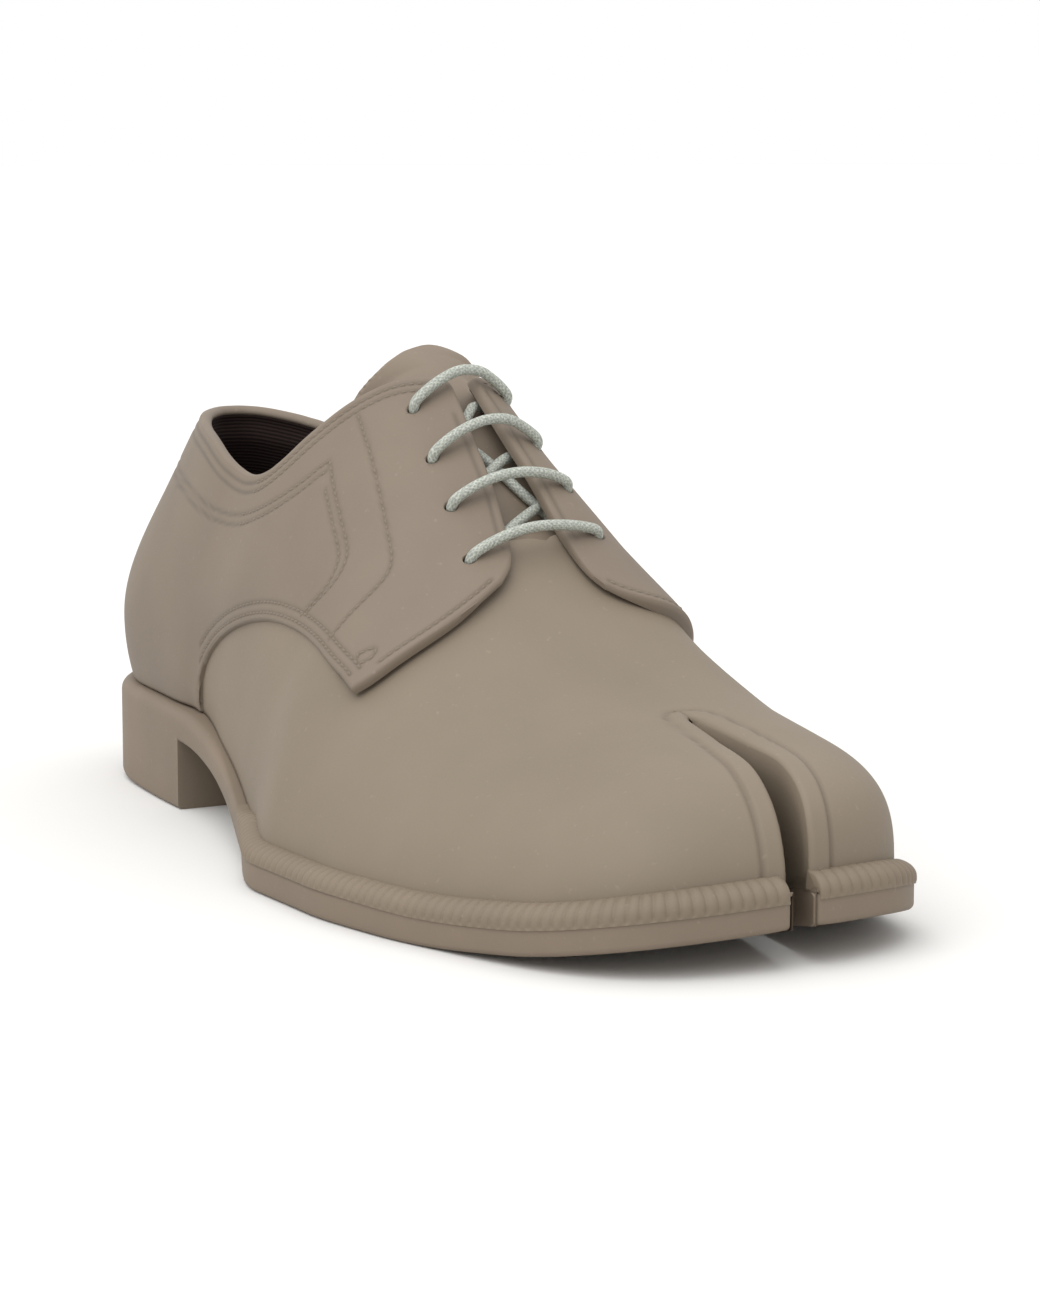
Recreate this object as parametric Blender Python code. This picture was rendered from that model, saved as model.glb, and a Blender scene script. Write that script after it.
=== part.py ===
"""Lace-up derby shoe with a split toe, right foot, moulded in matte rubber.

Toe along +X, inner (big toe) side along +Y, +Z up, floor at z = 0.
The origin is the middle of the sole's box on the floor.
"""

import bpy
import bmesh
import numpy as np
from mathutils import Vector

MM = 0.001

# Sizes of the shoe in millimetres
SHOE_LENGTH = 298.0
HEEL_ROUND = 45.0
HEEL_ROUND_POWER = 2.3
TOE_ROUND = 32.0
TOE_ROUND_POWER = 3.0
HEEL_BREAST = 82.0
WALL = 2.0
GAP = 0.3
QUARTER_GAP = 0.5
QUARTER_THICKNESS = 2.1
EDGE_ROUND = 1.2
INSOLE_THICKNESS = 3.0
INSOLE_CLEAR = 1.1
TONGUE_THICKNESS = 2.0
TONGUE_SIDE = 32.0
TONGUE_FULL_END = 148.0
TONGUE_POWER = 3.0
THROAT_SIDE = 24.0
COLLAR_FALL = 0.06
COLLAR_REACH = 26.0
EYELET_RADIUS = 2.9
EYELET_SIDES = 12
EYELET_PIN = 7.0
EYELET_COUNT = 4
EYELET_TOP_STATION = 143.8
EYELET_LOW_STATION = 181.3
EYELET_TOP_OUTER = 14.9
EYELET_LOW_OUTER = 22.2
EYELET_TOP_INNER = 10.5
EYELET_LOW_INNER = 12.5
LACE_RADIUS = 1.7
LACE_LIFT = 2.5
LACE_ARCH = 3.0
LACE_UNDER = -2.2
LACE_TAIL = 6.0
LACE_STEP = 2.6
LACE_RUN_POINTS = 7
LACE_ROUNDING = 3
FOREFOOT_REST = 172.0
TOE_LIFT = 2.2
TOE_LIFT_START = 240.0
FORM_DROP = 12.0
JOIN_DISTANCE = 0.02
FINE_RIBS = 150
FINE_ROWS = 50
SPINE_HEEL = 55.0
SPINE_TOE = 256.0
HEEL_BULGE = 6.3
SWELL_SCALE = 4.8
SWELL_POWER = 8.0
CONE_END = 112.0
CONE_RUN = 25.0
CONE_TURN = 0.9
CONE_KEEP = 0.18
FAR = 400.0
OUTLINE_STEPS = 4001
TOPLINE_STEPS = 27
CROWN_STEPS = 24
WAIST_STEPS = 12
NEAR_POINTS = 6
NEAR_EASE = 0.01
CORNER_SHARE = 0.25
RUBBER_ROUGHNESS = 0.65
SOLE_ROUGHNESS = 0.7
FOOTBED_ROUGHNESS = 0.9
LACE_ROUGHNESS = 0.8
RIBS_PER_SIDE = 38
ROWS = 11

# Plan of the sole edge: distance of the outer and inner edges from the crest line
PLAN = (
    # along, outer, inner, crest
    (0.0, 29.0, 28.5, 0.0),
    (20.0, 35.0, 33.5, 0.6),
    (45.0, 39.8, 35.0, 1.6),
    (70.0, 43.0, 32.5, 2.6),
    (95.0, 45.3, 28.3, 3.6),
    (120.0, 52.4, 24.0, 6.5),
    (150.0, 63.0, 24.6, 8.8),
    (180.0, 73.8, 32.1, 10.2),
    (205.0, 73.6, 38.7, 10.6),
    (228.0, 70.1, 40.2, 10.6),
    (250.0, 64.8, 37.4, 11.6),
    (270.0, 56.3, 35.3, 10.0),
    (283.0, 49.0, 35.0, 7.4),
    (298.0, 42.0, 34.6, 3.8),
)

# Heights of the sole: the ledge that carries the upper, and the underside
SOLE_HEIGHTS = (
    # along, ledge, underside
    (0.0, 25.5, 17.0),
    (55.0, 25.5, 17.0),
    (82.0, 24.8, 17.0),
    (105.0, 21.0, 14.0),
    (130.0, 14.6, 8.4),
    (150.0, 9.4, 2.9),
    (163.0, 7.5, 0.5),
    (172.0, 7.0, 0.0),
    (200.0, 7.0, 0.0),
    (238.0, 7.0, 0.0),
    (265.0, 8.8, 1.8),
    (298.0, 14.3, 7.3),
)

# Ledge width left outside the upper
LEDGE = (
    # along, width
    (0.0, 6.2),
    (80.0, 5.8),
    (112.0, 3.0),
    (150.0, 3.2),
    (180.0, 4.0),
    (298.0, 4.2),
)

# Crown of the last above the floor and roundness of its two sides
CROWN = (
    # along, height, outer_power, inner_power
    (55.0, 128.0, 1.6, 1.6),
    (78.0, 128.0, 1.72, 1.72),
    (100.0, 126.0, 1.85, 1.95),
    (120.0, 120.0, 1.8, 2.1),
    (141.0, 108.5, 1.75, 2.2),
    (160.0, 91.5, 1.7, 2.25),
    (178.0, 75.0, 1.65, 2.2),
    (200.0, 58.5, 1.7, 1.9),
    (220.0, 48.0, 1.9, 1.8),
    (236.0, 43.0, 2.1, 2.0),
    (256.0, 39.0, 2.4, 2.4),
)

# Topline of the collar seen from the side
TOPLINE = (
    # along, height
    (-30.0, 99.0),
    (16.0, 97.0),
    (40.0, 95.5),
    (66.0, 92.8),
    (84.0, 87.6),
    (99.0, 84.9),
    (112.8, 88.0),
    (122.8, 97.0),
    (130.8, 105.5),
    (137.6, 109.5),
    (143.0, 112.0),
    (145.0, 150.0),
)

# Lower edge of the quarters seen from the side, the flap corner and the flap front
ARCH = (
    # along, height
    (85.0, 0.0),
    (85.5, 31.0),
    (89.5, 40.0),
    (99.0, 46.6),
    (117.7, 52.0),
    (135.5, 55.5),
    (153.4, 54.8),
    (172.0, 50.5),
    (188.5, 44.5),
    (190.7, 48.5),
    (191.6, 56.0),
    (191.4, 66.0),
    (191.4, 120.0),
    (330.0, 120.0),
    (330.0, 0.0),
)

# Slot that splits the toe, measured from the crest line
SLOT = (
    # along, outer, inner
    (237.5, 0.6, 0.6),
    (243.0, 1.3, 1.3),
    (250.0, 1.8, 1.8),
    (258.0, 2.3, 2.3),
    (270.0, 2.9, 2.9),
    (283.0, 3.0, 3.0),
    (310.0, 2.7, 2.7),
)

# Opening of the upper under the lace flaps
THROAT = (
    # along, outer, inner
    (60.0, 28.0, 20.0),
    (181.0, 28.0, 20.0),
    (185.0, 25.0, 17.0),
    (187.0, 18.0, 11.0),
    (188.0, 9.0, 5.0),
)

# Opening between the two lace flaps, flared round their lower corners
FACING_GAP = (
    # along, outer, inner
    (60.0, 2.5, 1.5),
    (143.0, 3.7, 1.5),
    (152.0, 5.2, 2.2),
    (162.0, 6.3, 3.0),
    (172.0, 7.5, 3.2),
    (182.0, 9.8, 4.0),
    (186.5, 12.6, 6.0),
    (189.5, 17.0, 10.0),
    (191.0, 23.0, 17.0),
    (192.0, 40.0, 40.0),
    (330.0, 60.0, 60.0),
)

# Depth of the tongue below the outside of the upper: clear of the lace, then seated at its root
TONGUE_SEAT = (
    # along, depth
    (55.0, -4.6),
    (181.0, -4.6),
    (191.0, -2.5),
    (256.0, -2.5),
)

# Plan of the tongue from its rounded top to its root
TONGUE = (
    # along, outer, inner
    (117.0, 3.5, 4.0),
    (118.0, 7.5, 7.5),
    (120.5, 12.5, 9.5),
    (124.5, 17.5, 11.0),
    (130.0, 23.0, 12.5),
    (138.0, 28.0, 17.0),
    (150.0, 31.0, 22.5),
    (192.0, 31.0, 23.0),
    (199.0, 20.0, 15.0),
)

# Base colours of the pieces
TAUPE = (0.33, 0.29, 0.24, 1.0)
TAUPE_DARK = (0.26, 0.23, 0.19, 1.0)
LINING_BROWN = (0.03, 0.02, 0.02, 1.0)
LACE_GREY = (0.42, 0.44, 0.42, 1.0)


def smooth(table, column, at):
    """Smooth curve without overshoot through one column of a table."""
    rows = np.array(table)
    xs = rows[:, 0]
    ys = rows[:, column]
    at = np.clip(at, xs[0], xs[-1])
    step = np.diff(xs)
    slope = np.diff(ys) / step
    before = slope[:-1]
    after = slope[1:]
    weight_a = 2.0 * step[1:] + step[:-1]
    weight_b = step[1:] + 2.0 * step[:-1]
    same = before * after > 0.0
    safe_before = np.where(same, before, 1.0)
    safe_after = np.where(same, after, 1.0)
    mean = (weight_a + weight_b) / (weight_a / safe_before + weight_b / safe_after)
    inside = np.where(same, mean, 0.0)
    tangent = np.concatenate((slope[:1], inside, slope[-1:]))
    k = np.clip(np.searchsorted(xs, at, side="right") - 1, 0, len(xs) - 2)
    t = (at - xs[k]) / step[k]
    h00 = (1.0 + 2.0 * t) * (1.0 - t) ** 2
    h10 = t * (1.0 - t) ** 2
    h01 = t * t * (3.0 - 2.0 * t)
    h11 = t * t * (t - 1.0)
    run = step[k]
    return h00 * ys[k] + h10 * run * tangent[k] + h01 * ys[k + 1] + h11 * run * tangent[k + 1]


def end_round(at):
    """Share of the full width kept near the rounded heel and toe ends."""
    heel = np.clip(1.0 - at / HEEL_ROUND, 0.0, 1.0)
    toe = np.clip(1.0 - (SHOE_LENGTH - at) / TOE_ROUND, 0.0, 1.0)
    heel_share = (1.0 - heel ** HEEL_ROUND_POWER) ** (1.0 / HEEL_ROUND_POWER)
    toe_share = (1.0 - toe ** TOE_ROUND_POWER) ** (1.0 / TOE_ROUND_POWER)
    return heel_share * toe_share


def stations(count):
    """Stations along the shoe, evenly spaced round the sole edge."""
    turn = np.linspace(0.0, np.pi, OUTLINE_STEPS)
    at = 0.5 * SHOE_LENGTH * (1.0 - np.cos(turn))
    reach = 0.5 * (smooth(PLAN, 1, at) + smooth(PLAN, 2, at)) * end_round(at)
    walk = np.concatenate(([0.0], np.cumsum(np.hypot(np.diff(at), np.diff(reach)))))
    return np.interp(np.linspace(0.0, walk[-1], count + 1), walk, at)


def plan_edge(at, column, sign, inset):
    """Sole edge on one side, moved inwards by an inset measured square to the edge."""
    edge = smooth(PLAN, 3, at) + sign * smooth(PLAN, column, at) * end_round(at)
    run_x = np.gradient(at)
    run_y = np.gradient(edge)
    run_x[0] = 0.0
    run_x[-1] = 0.0
    run_y[0] = sign
    run_y[-1] = -sign
    length = np.hypot(run_x, run_y)
    moved_x = at + sign * inset * run_y / length
    moved_y = edge - sign * inset * run_x / length
    return np.stack((moved_x, moved_y), axis=1)


def plan_loop(at, inset):
    """Closed plan loop: outer side from heel to toe, then inner side back to the heel."""
    outer = plan_edge(at, 1, -1.0, inset)
    inner = plan_edge(at, 2, 1.0, inset)
    return np.concatenate((outer, inner[-2:0:-1]))


def sole_middle():
    """Middle of the sole's box on the floor."""
    edge = plan_loop(stations(FINE_RIBS), 0.0)
    low = edge.min(axis=0)
    high = edge.max(axis=0)
    return (0.5 * (low[0] + high[0]), 0.5 * (low[1] + high[1]), 0.0)


ORIGIN = sole_middle()


def toe_lift(plan):
    """Extra toe spring towards the inner edge."""
    outer = smooth(PLAN, 1, plan[:, 0])
    inner = smooth(PLAN, 2, plan[:, 0])
    across = (plan[:, 1] - smooth(PLAN, 3, plan[:, 0]) + outer) / (outer + inner)
    ahead = np.clip((plan[:, 0] - TOE_LIFT_START) / (SHOE_LENGTH - TOE_LIFT_START), 0.0, 1.0)
    return TOE_LIFT * ahead ** 2 * np.clip(across, 0.0, 1.0)


def ledge_height(plan):
    """Height of the ledge at plan places."""
    return smooth(SOLE_HEIGHTS, 1, plan[:, 0]) + toe_lift(plan)


def blank_underside(plan):
    """Underside before the waist is hollowed: flat to the ball, then the toe spring."""
    along = plan[:, 0]
    under = np.where(along < FOREFOOT_REST, 0.0, smooth(SOLE_HEIGHTS, 2, along))
    return under + toe_lift(plan)


def unit(vectors):
    """Vectors scaled to length one."""
    return vectors / np.maximum(np.linalg.norm(vectors, axis=-1, keepdims=True), 1e-9)


def last_form(at, rows, offset, seat=None):
    """Ribs of the upper's form, moved out by an offset, and their normals.

    Each rib leaves the feather edge and rises to the crest as a superellipse,
    with a soft outward swell at the heel. The offset fades at the top of the cone
    over the heel, which lies above the collar and is cut away. A seat table, given for
    the tongue, adds a depth that changes along the crest and a flatter top.
    """
    along = np.concatenate((at, at[-2:0:-1]))
    is_outer = np.arange(len(along)) < len(at)
    foot = plan_loop(at, smooth(LEDGE, 1, at))
    spine = SPINE_HEEL + (SPINE_TOE - SPINE_HEEL) * along / SHOE_LENGTH
    crest = smooth(PLAN, 3, spine)
    crown = smooth(CROWN, 1, spine)
    over_cone = np.clip((CONE_END - spine) / CONE_RUN, 0.0, 1.0)
    fullness = np.where(is_outer, smooth(CROWN, 2, spine), smooth(CROWN, 3, spine))
    if seat is not None:
        over_tongue = np.clip((TONGUE_FULL_END - spine) / CONE_RUN, 0.0, 1.0)
        fullness = np.maximum(fullness, TONGUE_POWER * over_tongue)
    power = 2.0 / fullness
    base = ledge_height(foot) + GAP
    turn = np.linspace(0.0, 0.5 * np.pi, rows)
    rise = np.sin(turn)[None, :] ** power[:, None]
    draw = 1.0 - np.abs(np.cos(turn))[None, :] ** power[:, None]
    run = np.roll(foot, -1, axis=0) - np.roll(foot, 1, axis=0)
    out = unit(np.stack((run[:, 1], -run[:, 0]), axis=1))
    swell = HEEL_BULGE * np.clip(1.0 - along / HEEL_BREAST, 0.0, 1.0)
    push = swell[:, None] * (SWELL_SCALE * np.sin(turn) * np.cos(turn) ** SWELL_POWER)[None, :]
    points = np.empty((len(along), rows, 3))
    points[:, :, 0] = foot[:, :1] + (spine - foot[:, 0])[:, None] * draw + push * out[:, :1]
    points[:, :, 1] = foot[:, 1:] + (crest - foot[:, 1])[:, None] * draw + push * out[:, 1:]
    points[:, :, 2] = base[:, None] + (crown - base)[:, None] * rise
    round_way = np.roll(points, -1, axis=0) - np.roll(points, 1, axis=0)
    up_way = np.gradient(points, axis=1)
    normal = unit(np.cross(round_way, up_way))
    normal[:, 0, :2] = out
    normal[:, 0, 2] = 0.0
    nearby = 1.0
    slope = (smooth(CROWN, 1, spine + nearby) - smooth(CROWN, 1, spine - nearby)) / (2.0 * nearby)
    normal[:, -1] = unit(np.stack((-slope, np.zeros_like(slope), np.ones_like(slope)), axis=1))
    near_top = np.clip((turn - CONE_TURN) / (0.5 * np.pi - CONE_TURN), 0.0, 1.0)
    ease = 1.0 - (1.0 - CONE_KEEP) * over_cone[:, None] * near_top[None, :]
    depth = np.full(len(spine), offset)
    if seat is not None:
        depth = depth + smooth(seat, 1, spine)
    return points + (depth[:, None] * ease)[:, :, None] * normal, normal


def mesh_object(name, points, faces):
    """Closed mesh object, in metres about the origin, with coincident points joined."""
    shop = bmesh.new()
    shift = np.array(ORIGIN)
    made = [shop.verts.new(Vector((p - shift) * MM)) for p in points]
    for face in faces:
        shop.faces.new([made[i] for i in face])
    bmesh.ops.remove_doubles(shop, verts=shop.verts, dist=JOIN_DISTANCE * MM)
    bmesh.ops.dissolve_degenerate(shop, edges=shop.edges, dist=JOIN_DISTANCE * MM)
    bmesh.ops.recalc_face_normals(shop, faces=shop.faces)
    if shop.calc_volume(signed=True) < 0.0:
        bmesh.ops.reverse_faces(shop, faces=shop.faces)
    mesh = bpy.data.meshes.new(name)
    shop.to_mesh(mesh)
    shop.free()
    made_object = bpy.data.objects.new(name, mesh)
    bpy.context.scene.collection.objects.link(made_object)
    return made_object


def cross_faces(start, per_side):
    """Faces that close one loop by joining its outer side to its inner side."""
    last = 2 * per_side
    faces = [(start, start + 1, start + last - 1)]
    for j in range(1, per_side - 1):
        faces.append((start + j, start + j + 1, start + last - j - 1, start + last - j))
    faces.append((start + per_side - 1, start + per_side, start + per_side + 1))
    return faces


def wall_faces(rings, size):
    """Quads between neighbouring loops of the same size."""
    faces = []
    for r in range(rings - 1):
        for i in range(size):
            j = (i + 1) % size
            faces.append((r * size + i, r * size + j, (r + 1) * size + j, (r + 1) * size + i))
    return faces


def form_object(name, offset, drop, seat=None):
    """Closed form of the last at an offset, carried down below the ledge by a drop."""
    at = stations(RIBS_PER_SIDE)
    grid, normal = last_form(at, ROWS, offset, seat)
    loops = [grid[:, r] for r in range(ROWS)]
    if drop > 0.0:
        loops.insert(0, grid[:, 0] - np.array((0.0, 0.0, drop)))
    size = len(grid)
    faces = cross_faces(0, RIBS_PER_SIDE) + wall_faces(len(loops), size)
    return mesh_object(name, np.concatenate(loops), faces)


def plate_object(name, levels):
    """Closed plate from loops given as (inset, height function) from bottom to top."""
    at = stations(RIBS_PER_SIDE)
    loops = []
    for inset, height in levels:
        plan = plan_loop(at, inset)
        loops.append(np.column_stack((plan, height(plan))))
    size = len(loops[0])
    faces = cross_faces(0, RIBS_PER_SIDE) + wall_faces(len(loops), size)
    faces += cross_faces((len(loops) - 1) * size, RIBS_PER_SIDE)
    return mesh_object(name, np.concatenate(loops), faces)


def prism(name, polygon, low, high, axis, fall=0.0):
    """Straight prism of a polygon, along Y from a side view or along Z from a plan.

    A fall lowers a side view by that much for each step towards the inner side.
    """
    corners = np.array(polygon)
    levels = []
    for reach in (low, high):
        fill = np.full(len(corners), reach)
        if axis == "Y":
            levels.append(np.column_stack((corners[:, 0], fill, corners[:, 1] - fall * reach)))
        else:
            levels.append(np.column_stack((corners[:, 0], corners[:, 1], fill)))
    count = len(corners)
    faces = [tuple(range(count)), tuple(range(count, 2 * count))]
    faces += wall_faces(2, count)
    return mesh_object(name, np.concatenate(levels), faces)


def crest_strip(name, table, extra, low, high):
    """Upright prism of a strip along the crest line, widened and begun earlier by an extra."""
    rows = np.array(table)
    rows[0, 0] -= extra
    crest = smooth(PLAN, 3, rows[:, 0])
    near = np.column_stack((rows[:, 0], crest - rows[:, 1] - extra))
    far = np.column_stack((rows[:, 0], crest + rows[:, 2] + extra))
    return prism(name, np.concatenate((near, far[::-1])), low, high, "Z")


def form_point(along, aside, offset):
    """Point of the last near a plan place given from the crest line, and its normal."""
    grid, normal = last_form(stations(FINE_RIBS), FINE_ROWS, 0.0)
    spots = grid.reshape(-1, 3)
    normals = normal.reshape(-1, 3)
    goal = np.array((along, float(smooth(PLAN, 3, along)) + aside))
    away = np.linalg.norm(spots[:, :2] - goal, axis=1)
    near = np.argsort(away)[:NEAR_POINTS]
    share = 1.0 / (away[near] + NEAR_EASE)
    share /= share.sum()
    spot = (spots[near] * share[:, None]).sum(axis=0)
    spot[:2] = goal
    direction = unit((normals[near] * share[:, None]).sum(axis=0))
    return spot + offset * direction, direction


def cut(target, cutter, operation="DIFFERENCE"):
    """Boolean of a hidden cutter on a target."""
    step = target.modifiers.new(cutter.name, "BOOLEAN")
    step.operation = operation
    step.solver = "EXACT"
    step.object = cutter


def hide(cutter):
    """Mark an object as a guide that is not a piece."""
    cutter.hide_render = True
    cutter.display_type = "WIRE"
    return cutter


def finish(piece, material_name, colour, roughness):
    """Give a piece its own material."""
    material = bpy.data.materials.new(material_name)
    material.use_nodes = True
    shader = material.node_tree.nodes["Principled BSDF"]
    shader.inputs["Base Color"].default_value = colour
    shader.inputs["Roughness"].default_value = roughness
    piece.data.materials.append(material)
    return piece


def eyelet_rows():
    """Outer and inner place, as (along, aside), of each pair of eyelets, from the low pair up."""
    share = np.linspace(1.0, 0.0, EYELET_COUNT)
    along = EYELET_TOP_STATION + (EYELET_LOW_STATION - EYELET_TOP_STATION) * share
    outer = EYELET_TOP_OUTER + (EYELET_LOW_OUTER - EYELET_TOP_OUTER) * share
    inner = EYELET_TOP_INNER + (EYELET_LOW_INNER - EYELET_TOP_INNER) * share
    return [((x, -o), (x, i)) for x, o, i in zip(along, outer, inner)]


def eyelet_cutter():
    """Eight round pins square to the quarters, in one guide object."""
    turn = np.linspace(0.0, 2.0 * np.pi, EYELET_SIDES, endpoint=False)
    points = []
    faces = []
    for pair in eyelet_rows():
        for along, aside in pair:
            spot, direction = form_point(along, aside, 0.0)
            side = unit(np.cross(direction, (1.0, 0.0, 0.0)))
            cross = np.cross(direction, side)
            ring = EYELET_RADIUS * (np.cos(turn)[:, None] * side + np.sin(turn)[:, None] * cross)
            start = len(points)
            points += list(spot + ring - EYELET_PIN * direction)
            points += list(spot + ring + EYELET_PIN * direction)
            pin = [tuple(range(EYELET_SIDES)), tuple(range(EYELET_SIDES, 2 * EYELET_SIDES))]
            pin += wall_faces(2, EYELET_SIDES)
            faces += [tuple(start + i for i in face) for face in pin]
    return hide(mesh_object("eyelet_guide", points, faces))


def lace_run(start, end, offset, lift):
    """Points of a lace run over the last between two places given as (along, aside)."""
    run = []
    for share in np.linspace(0.0, 1.0, LACE_RUN_POINTS):
        along = start[0] + (end[0] - start[0]) * share
        aside = start[1] + (end[1] - start[1]) * share
        run.append(form_point(along, aside, offset + lift * np.sin(np.pi * share))[0])
    return run


def lace_path():
    """Middle line of the lace: straight bars above, slanting runs below the flaps."""
    above = QUARTER_GAP + QUARTER_THICKNESS + LACE_LIFT
    rows = eyelet_rows()
    outer_low = rows[0][0]
    path = lace_run((outer_low[0], -LACE_TAIL), outer_low, LACE_UNDER, 0.0)
    for k, (outer, inner) in enumerate(rows):
        path += lace_run(outer, inner, above, LACE_ARCH)
        if k + 1 < len(rows):
            path += lace_run(inner, rows[k + 1][0], LACE_UNDER, 0.0)
    inner_top = rows[-1][1]
    path += lace_run(inner_top, (inner_top[0], LACE_TAIL), LACE_UNDER, 0.0)
    points = np.array(path)
    for _ in range(LACE_ROUNDING):
        step = CORNER_SHARE * np.diff(points, axis=0)
        early = points[:-1] + step
        late = points[1:] - step
        mixed = np.stack((early, late), axis=1).reshape(-1, 3)
        points = np.concatenate((points[:1], mixed, points[-1:]))
    walk = np.concatenate(([0.0], np.cumsum(np.linalg.norm(np.diff(points, axis=0), axis=1))))
    even = np.linspace(0.0, walk[-1], int(walk[-1] / LACE_STEP) + 1)
    return np.column_stack([np.interp(even, walk, points[:, c]) for c in range(3)])


def lace_object():
    """Round cord along the lace path."""
    path = (lace_path() - np.array(ORIGIN)) * MM
    curve = bpy.data.curves.new("lace", "CURVE")
    curve.dimensions = "3D"
    curve.bevel_depth = LACE_RADIUS * MM
    curve.bevel_resolution = 1
    curve.use_fill_caps = True
    spline = curve.splines.new("POLY")
    spline.points.add(len(path) - 1)
    spline.points.foreach_set("co", np.column_stack((path, np.ones(len(path)))).ravel())
    cord = bpy.data.objects.new("lace", curve)
    bpy.context.scene.collection.objects.link(cord)
    return cord


def topline_polygon():
    """Side view of everything above the collar edge."""
    at = np.linspace(TOPLINE[0][0], TOPLINE[-1][0], TOPLINE_STEPS)
    edge = np.column_stack((at, smooth(TOPLINE, 1, at) - COLLAR_FALL * COLLAR_REACH))
    return np.concatenate((edge, [(at[-1], FAR), (at[0], FAR)]))


def crown_polygon(depth):
    """Side view of everything above a line that runs a depth below the crown."""
    at = np.linspace(CROWN[0][0], CROWN[-1][0], CROWN_STEPS)
    edge = np.column_stack((at, smooth(CROWN, 1, at) - depth))
    return np.concatenate((edge, [(at[-1], FAR), (at[0], FAR)]))


def waist_polygon():
    """Side view of the hollow under the waist, ahead of the heel breast."""
    at = np.linspace(HEEL_BREAST, FOREFOOT_REST, WAIST_STEPS)
    edge = np.column_stack((at, smooth(SOLE_HEIGHTS, 2, at)))
    return np.concatenate((edge, [(at[-1], -FAR), (at[0], -FAR)]))


def build_sole():
    """One moulded unit: heel block, waist, forefoot, ledge and split toe."""
    levels = (
        (EDGE_ROUND, blank_underside),
        (0.0, lambda plan: blank_underside(plan) + EDGE_ROUND),
        (0.0, lambda plan: ledge_height(plan) - EDGE_ROUND),
        (EDGE_ROUND, ledge_height),
    )
    sole = plate_object("sole", levels)
    cut(sole, hide(prism("waist_guide", waist_polygon(), -FAR, FAR, "Y")))
    return finish(sole, "moulded_rubber_sole", TAUPE_DARK, SOLE_ROUGHNESS)


def build_insole():
    """Thin footbed that lies on the sole inside the upper."""
    at = stations(RIBS_PER_SIDE)
    inset = smooth(LEDGE, 1, at) + WALL + INSOLE_CLEAR
    levels = (
        (inset, lambda plan: ledge_height(plan) + GAP),
        (inset, lambda plan: ledge_height(plan) + GAP + INSOLE_THICKNESS),
    )
    return finish(plate_object("insole", levels), "woven_footbed", LINING_BROWN, FOOTBED_ROUGHNESS)


def main():
    """Build the shoe piece by piece."""
    for old in list(bpy.data.objects):
        bpy.data.objects.remove(old, do_unlink=True)
    slot = hide(crest_strip("slot_guide", SLOT, 0.0, -FAR, FAR))
    pocket = hide(crest_strip("slot_wall_guide", SLOT, WALL, -FAR, FAR))
    clear = hide(crest_strip("insole_notch_guide", SLOT, WALL + 2.0 * GAP, -FAR, FAR))
    collar = hide(prism("collar_guide", topline_polygon(), -FAR, FAR, "Y", COLLAR_FALL))
    sole = build_sole()
    cut(sole, slot)
    insole = build_insole()
    cut(insole, clear)
    hollow = hide(form_object("upper_inside_guide", -WALL, FORM_DROP))
    cut(hollow, pocket)
    upper = form_object("upper", 0.0, 0.0)
    cut(upper, slot)
    cut(upper, hollow)
    throat = hide(crest_strip("throat_guide", THROAT, 0.0, 0.0, FAR))
    cut(throat, hide(prism("throat_side_guide", crown_polygon(THROAT_SIDE), -FAR, FAR, "Y")), "INTERSECT")
    cut(upper, throat)
    cut(upper, collar)
    finish(upper, "moulded_rubber_vamp", TAUPE, RUBBER_ROUGHNESS)
    quarters = form_object("quarters", QUARTER_GAP + QUARTER_THICKNESS, 0.0)
    cut(quarters, hide(form_object("quarters_inside_guide", QUARTER_GAP, FORM_DROP)))
    cut(quarters, hide(prism("arch_guide", ARCH, -FAR, FAR, "Y")))
    cut(quarters, hide(crest_strip("facing_guide", FACING_GAP, 0.0, 0.0, FAR)))
    cut(quarters, collar)
    cut(quarters, eyelet_cutter())
    finish(quarters, "moulded_rubber_quarters", TAUPE, RUBBER_ROUGHNESS)
    tongue = form_object("tongue", 0.0, 0.0, TONGUE_SEAT)
    under = form_object("tongue_inside_guide", -TONGUE_THICKNESS, FORM_DROP, TONGUE_SEAT)
    cut(tongue, hide(under))
    cut(tongue, hide(crest_strip("tongue_guide", TONGUE, 0.0, 0.0, FAR)), "INTERSECT")
    cut(tongue, hide(prism("tongue_side_guide", crown_polygon(TONGUE_SIDE), -FAR, FAR, "Y")), "INTERSECT")
    finish(tongue, "moulded_rubber_tongue", TAUPE, RUBBER_ROUGHNESS)
    finish(lace_object(), "round_braided_lace", LACE_GREY, LACE_ROUGHNESS)


main()
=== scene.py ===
"""Looks of a right-foot lace-up shoe with a split toe, moulded in matte taupe rubber.

Lengths in the tables are millimetres, counted from the heel end, with the toe along +x, the
inner (big toe) side along +y and the floor at z = 0. Pieces go into the model's own frame in metres.
"""

from __future__ import annotations

import logging
from collections.abc import Callable
from dataclasses import dataclass, field
from enum import Enum

import bmesh
import bpy
import numpy as np
from mathutils import Matrix, Vector

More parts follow.
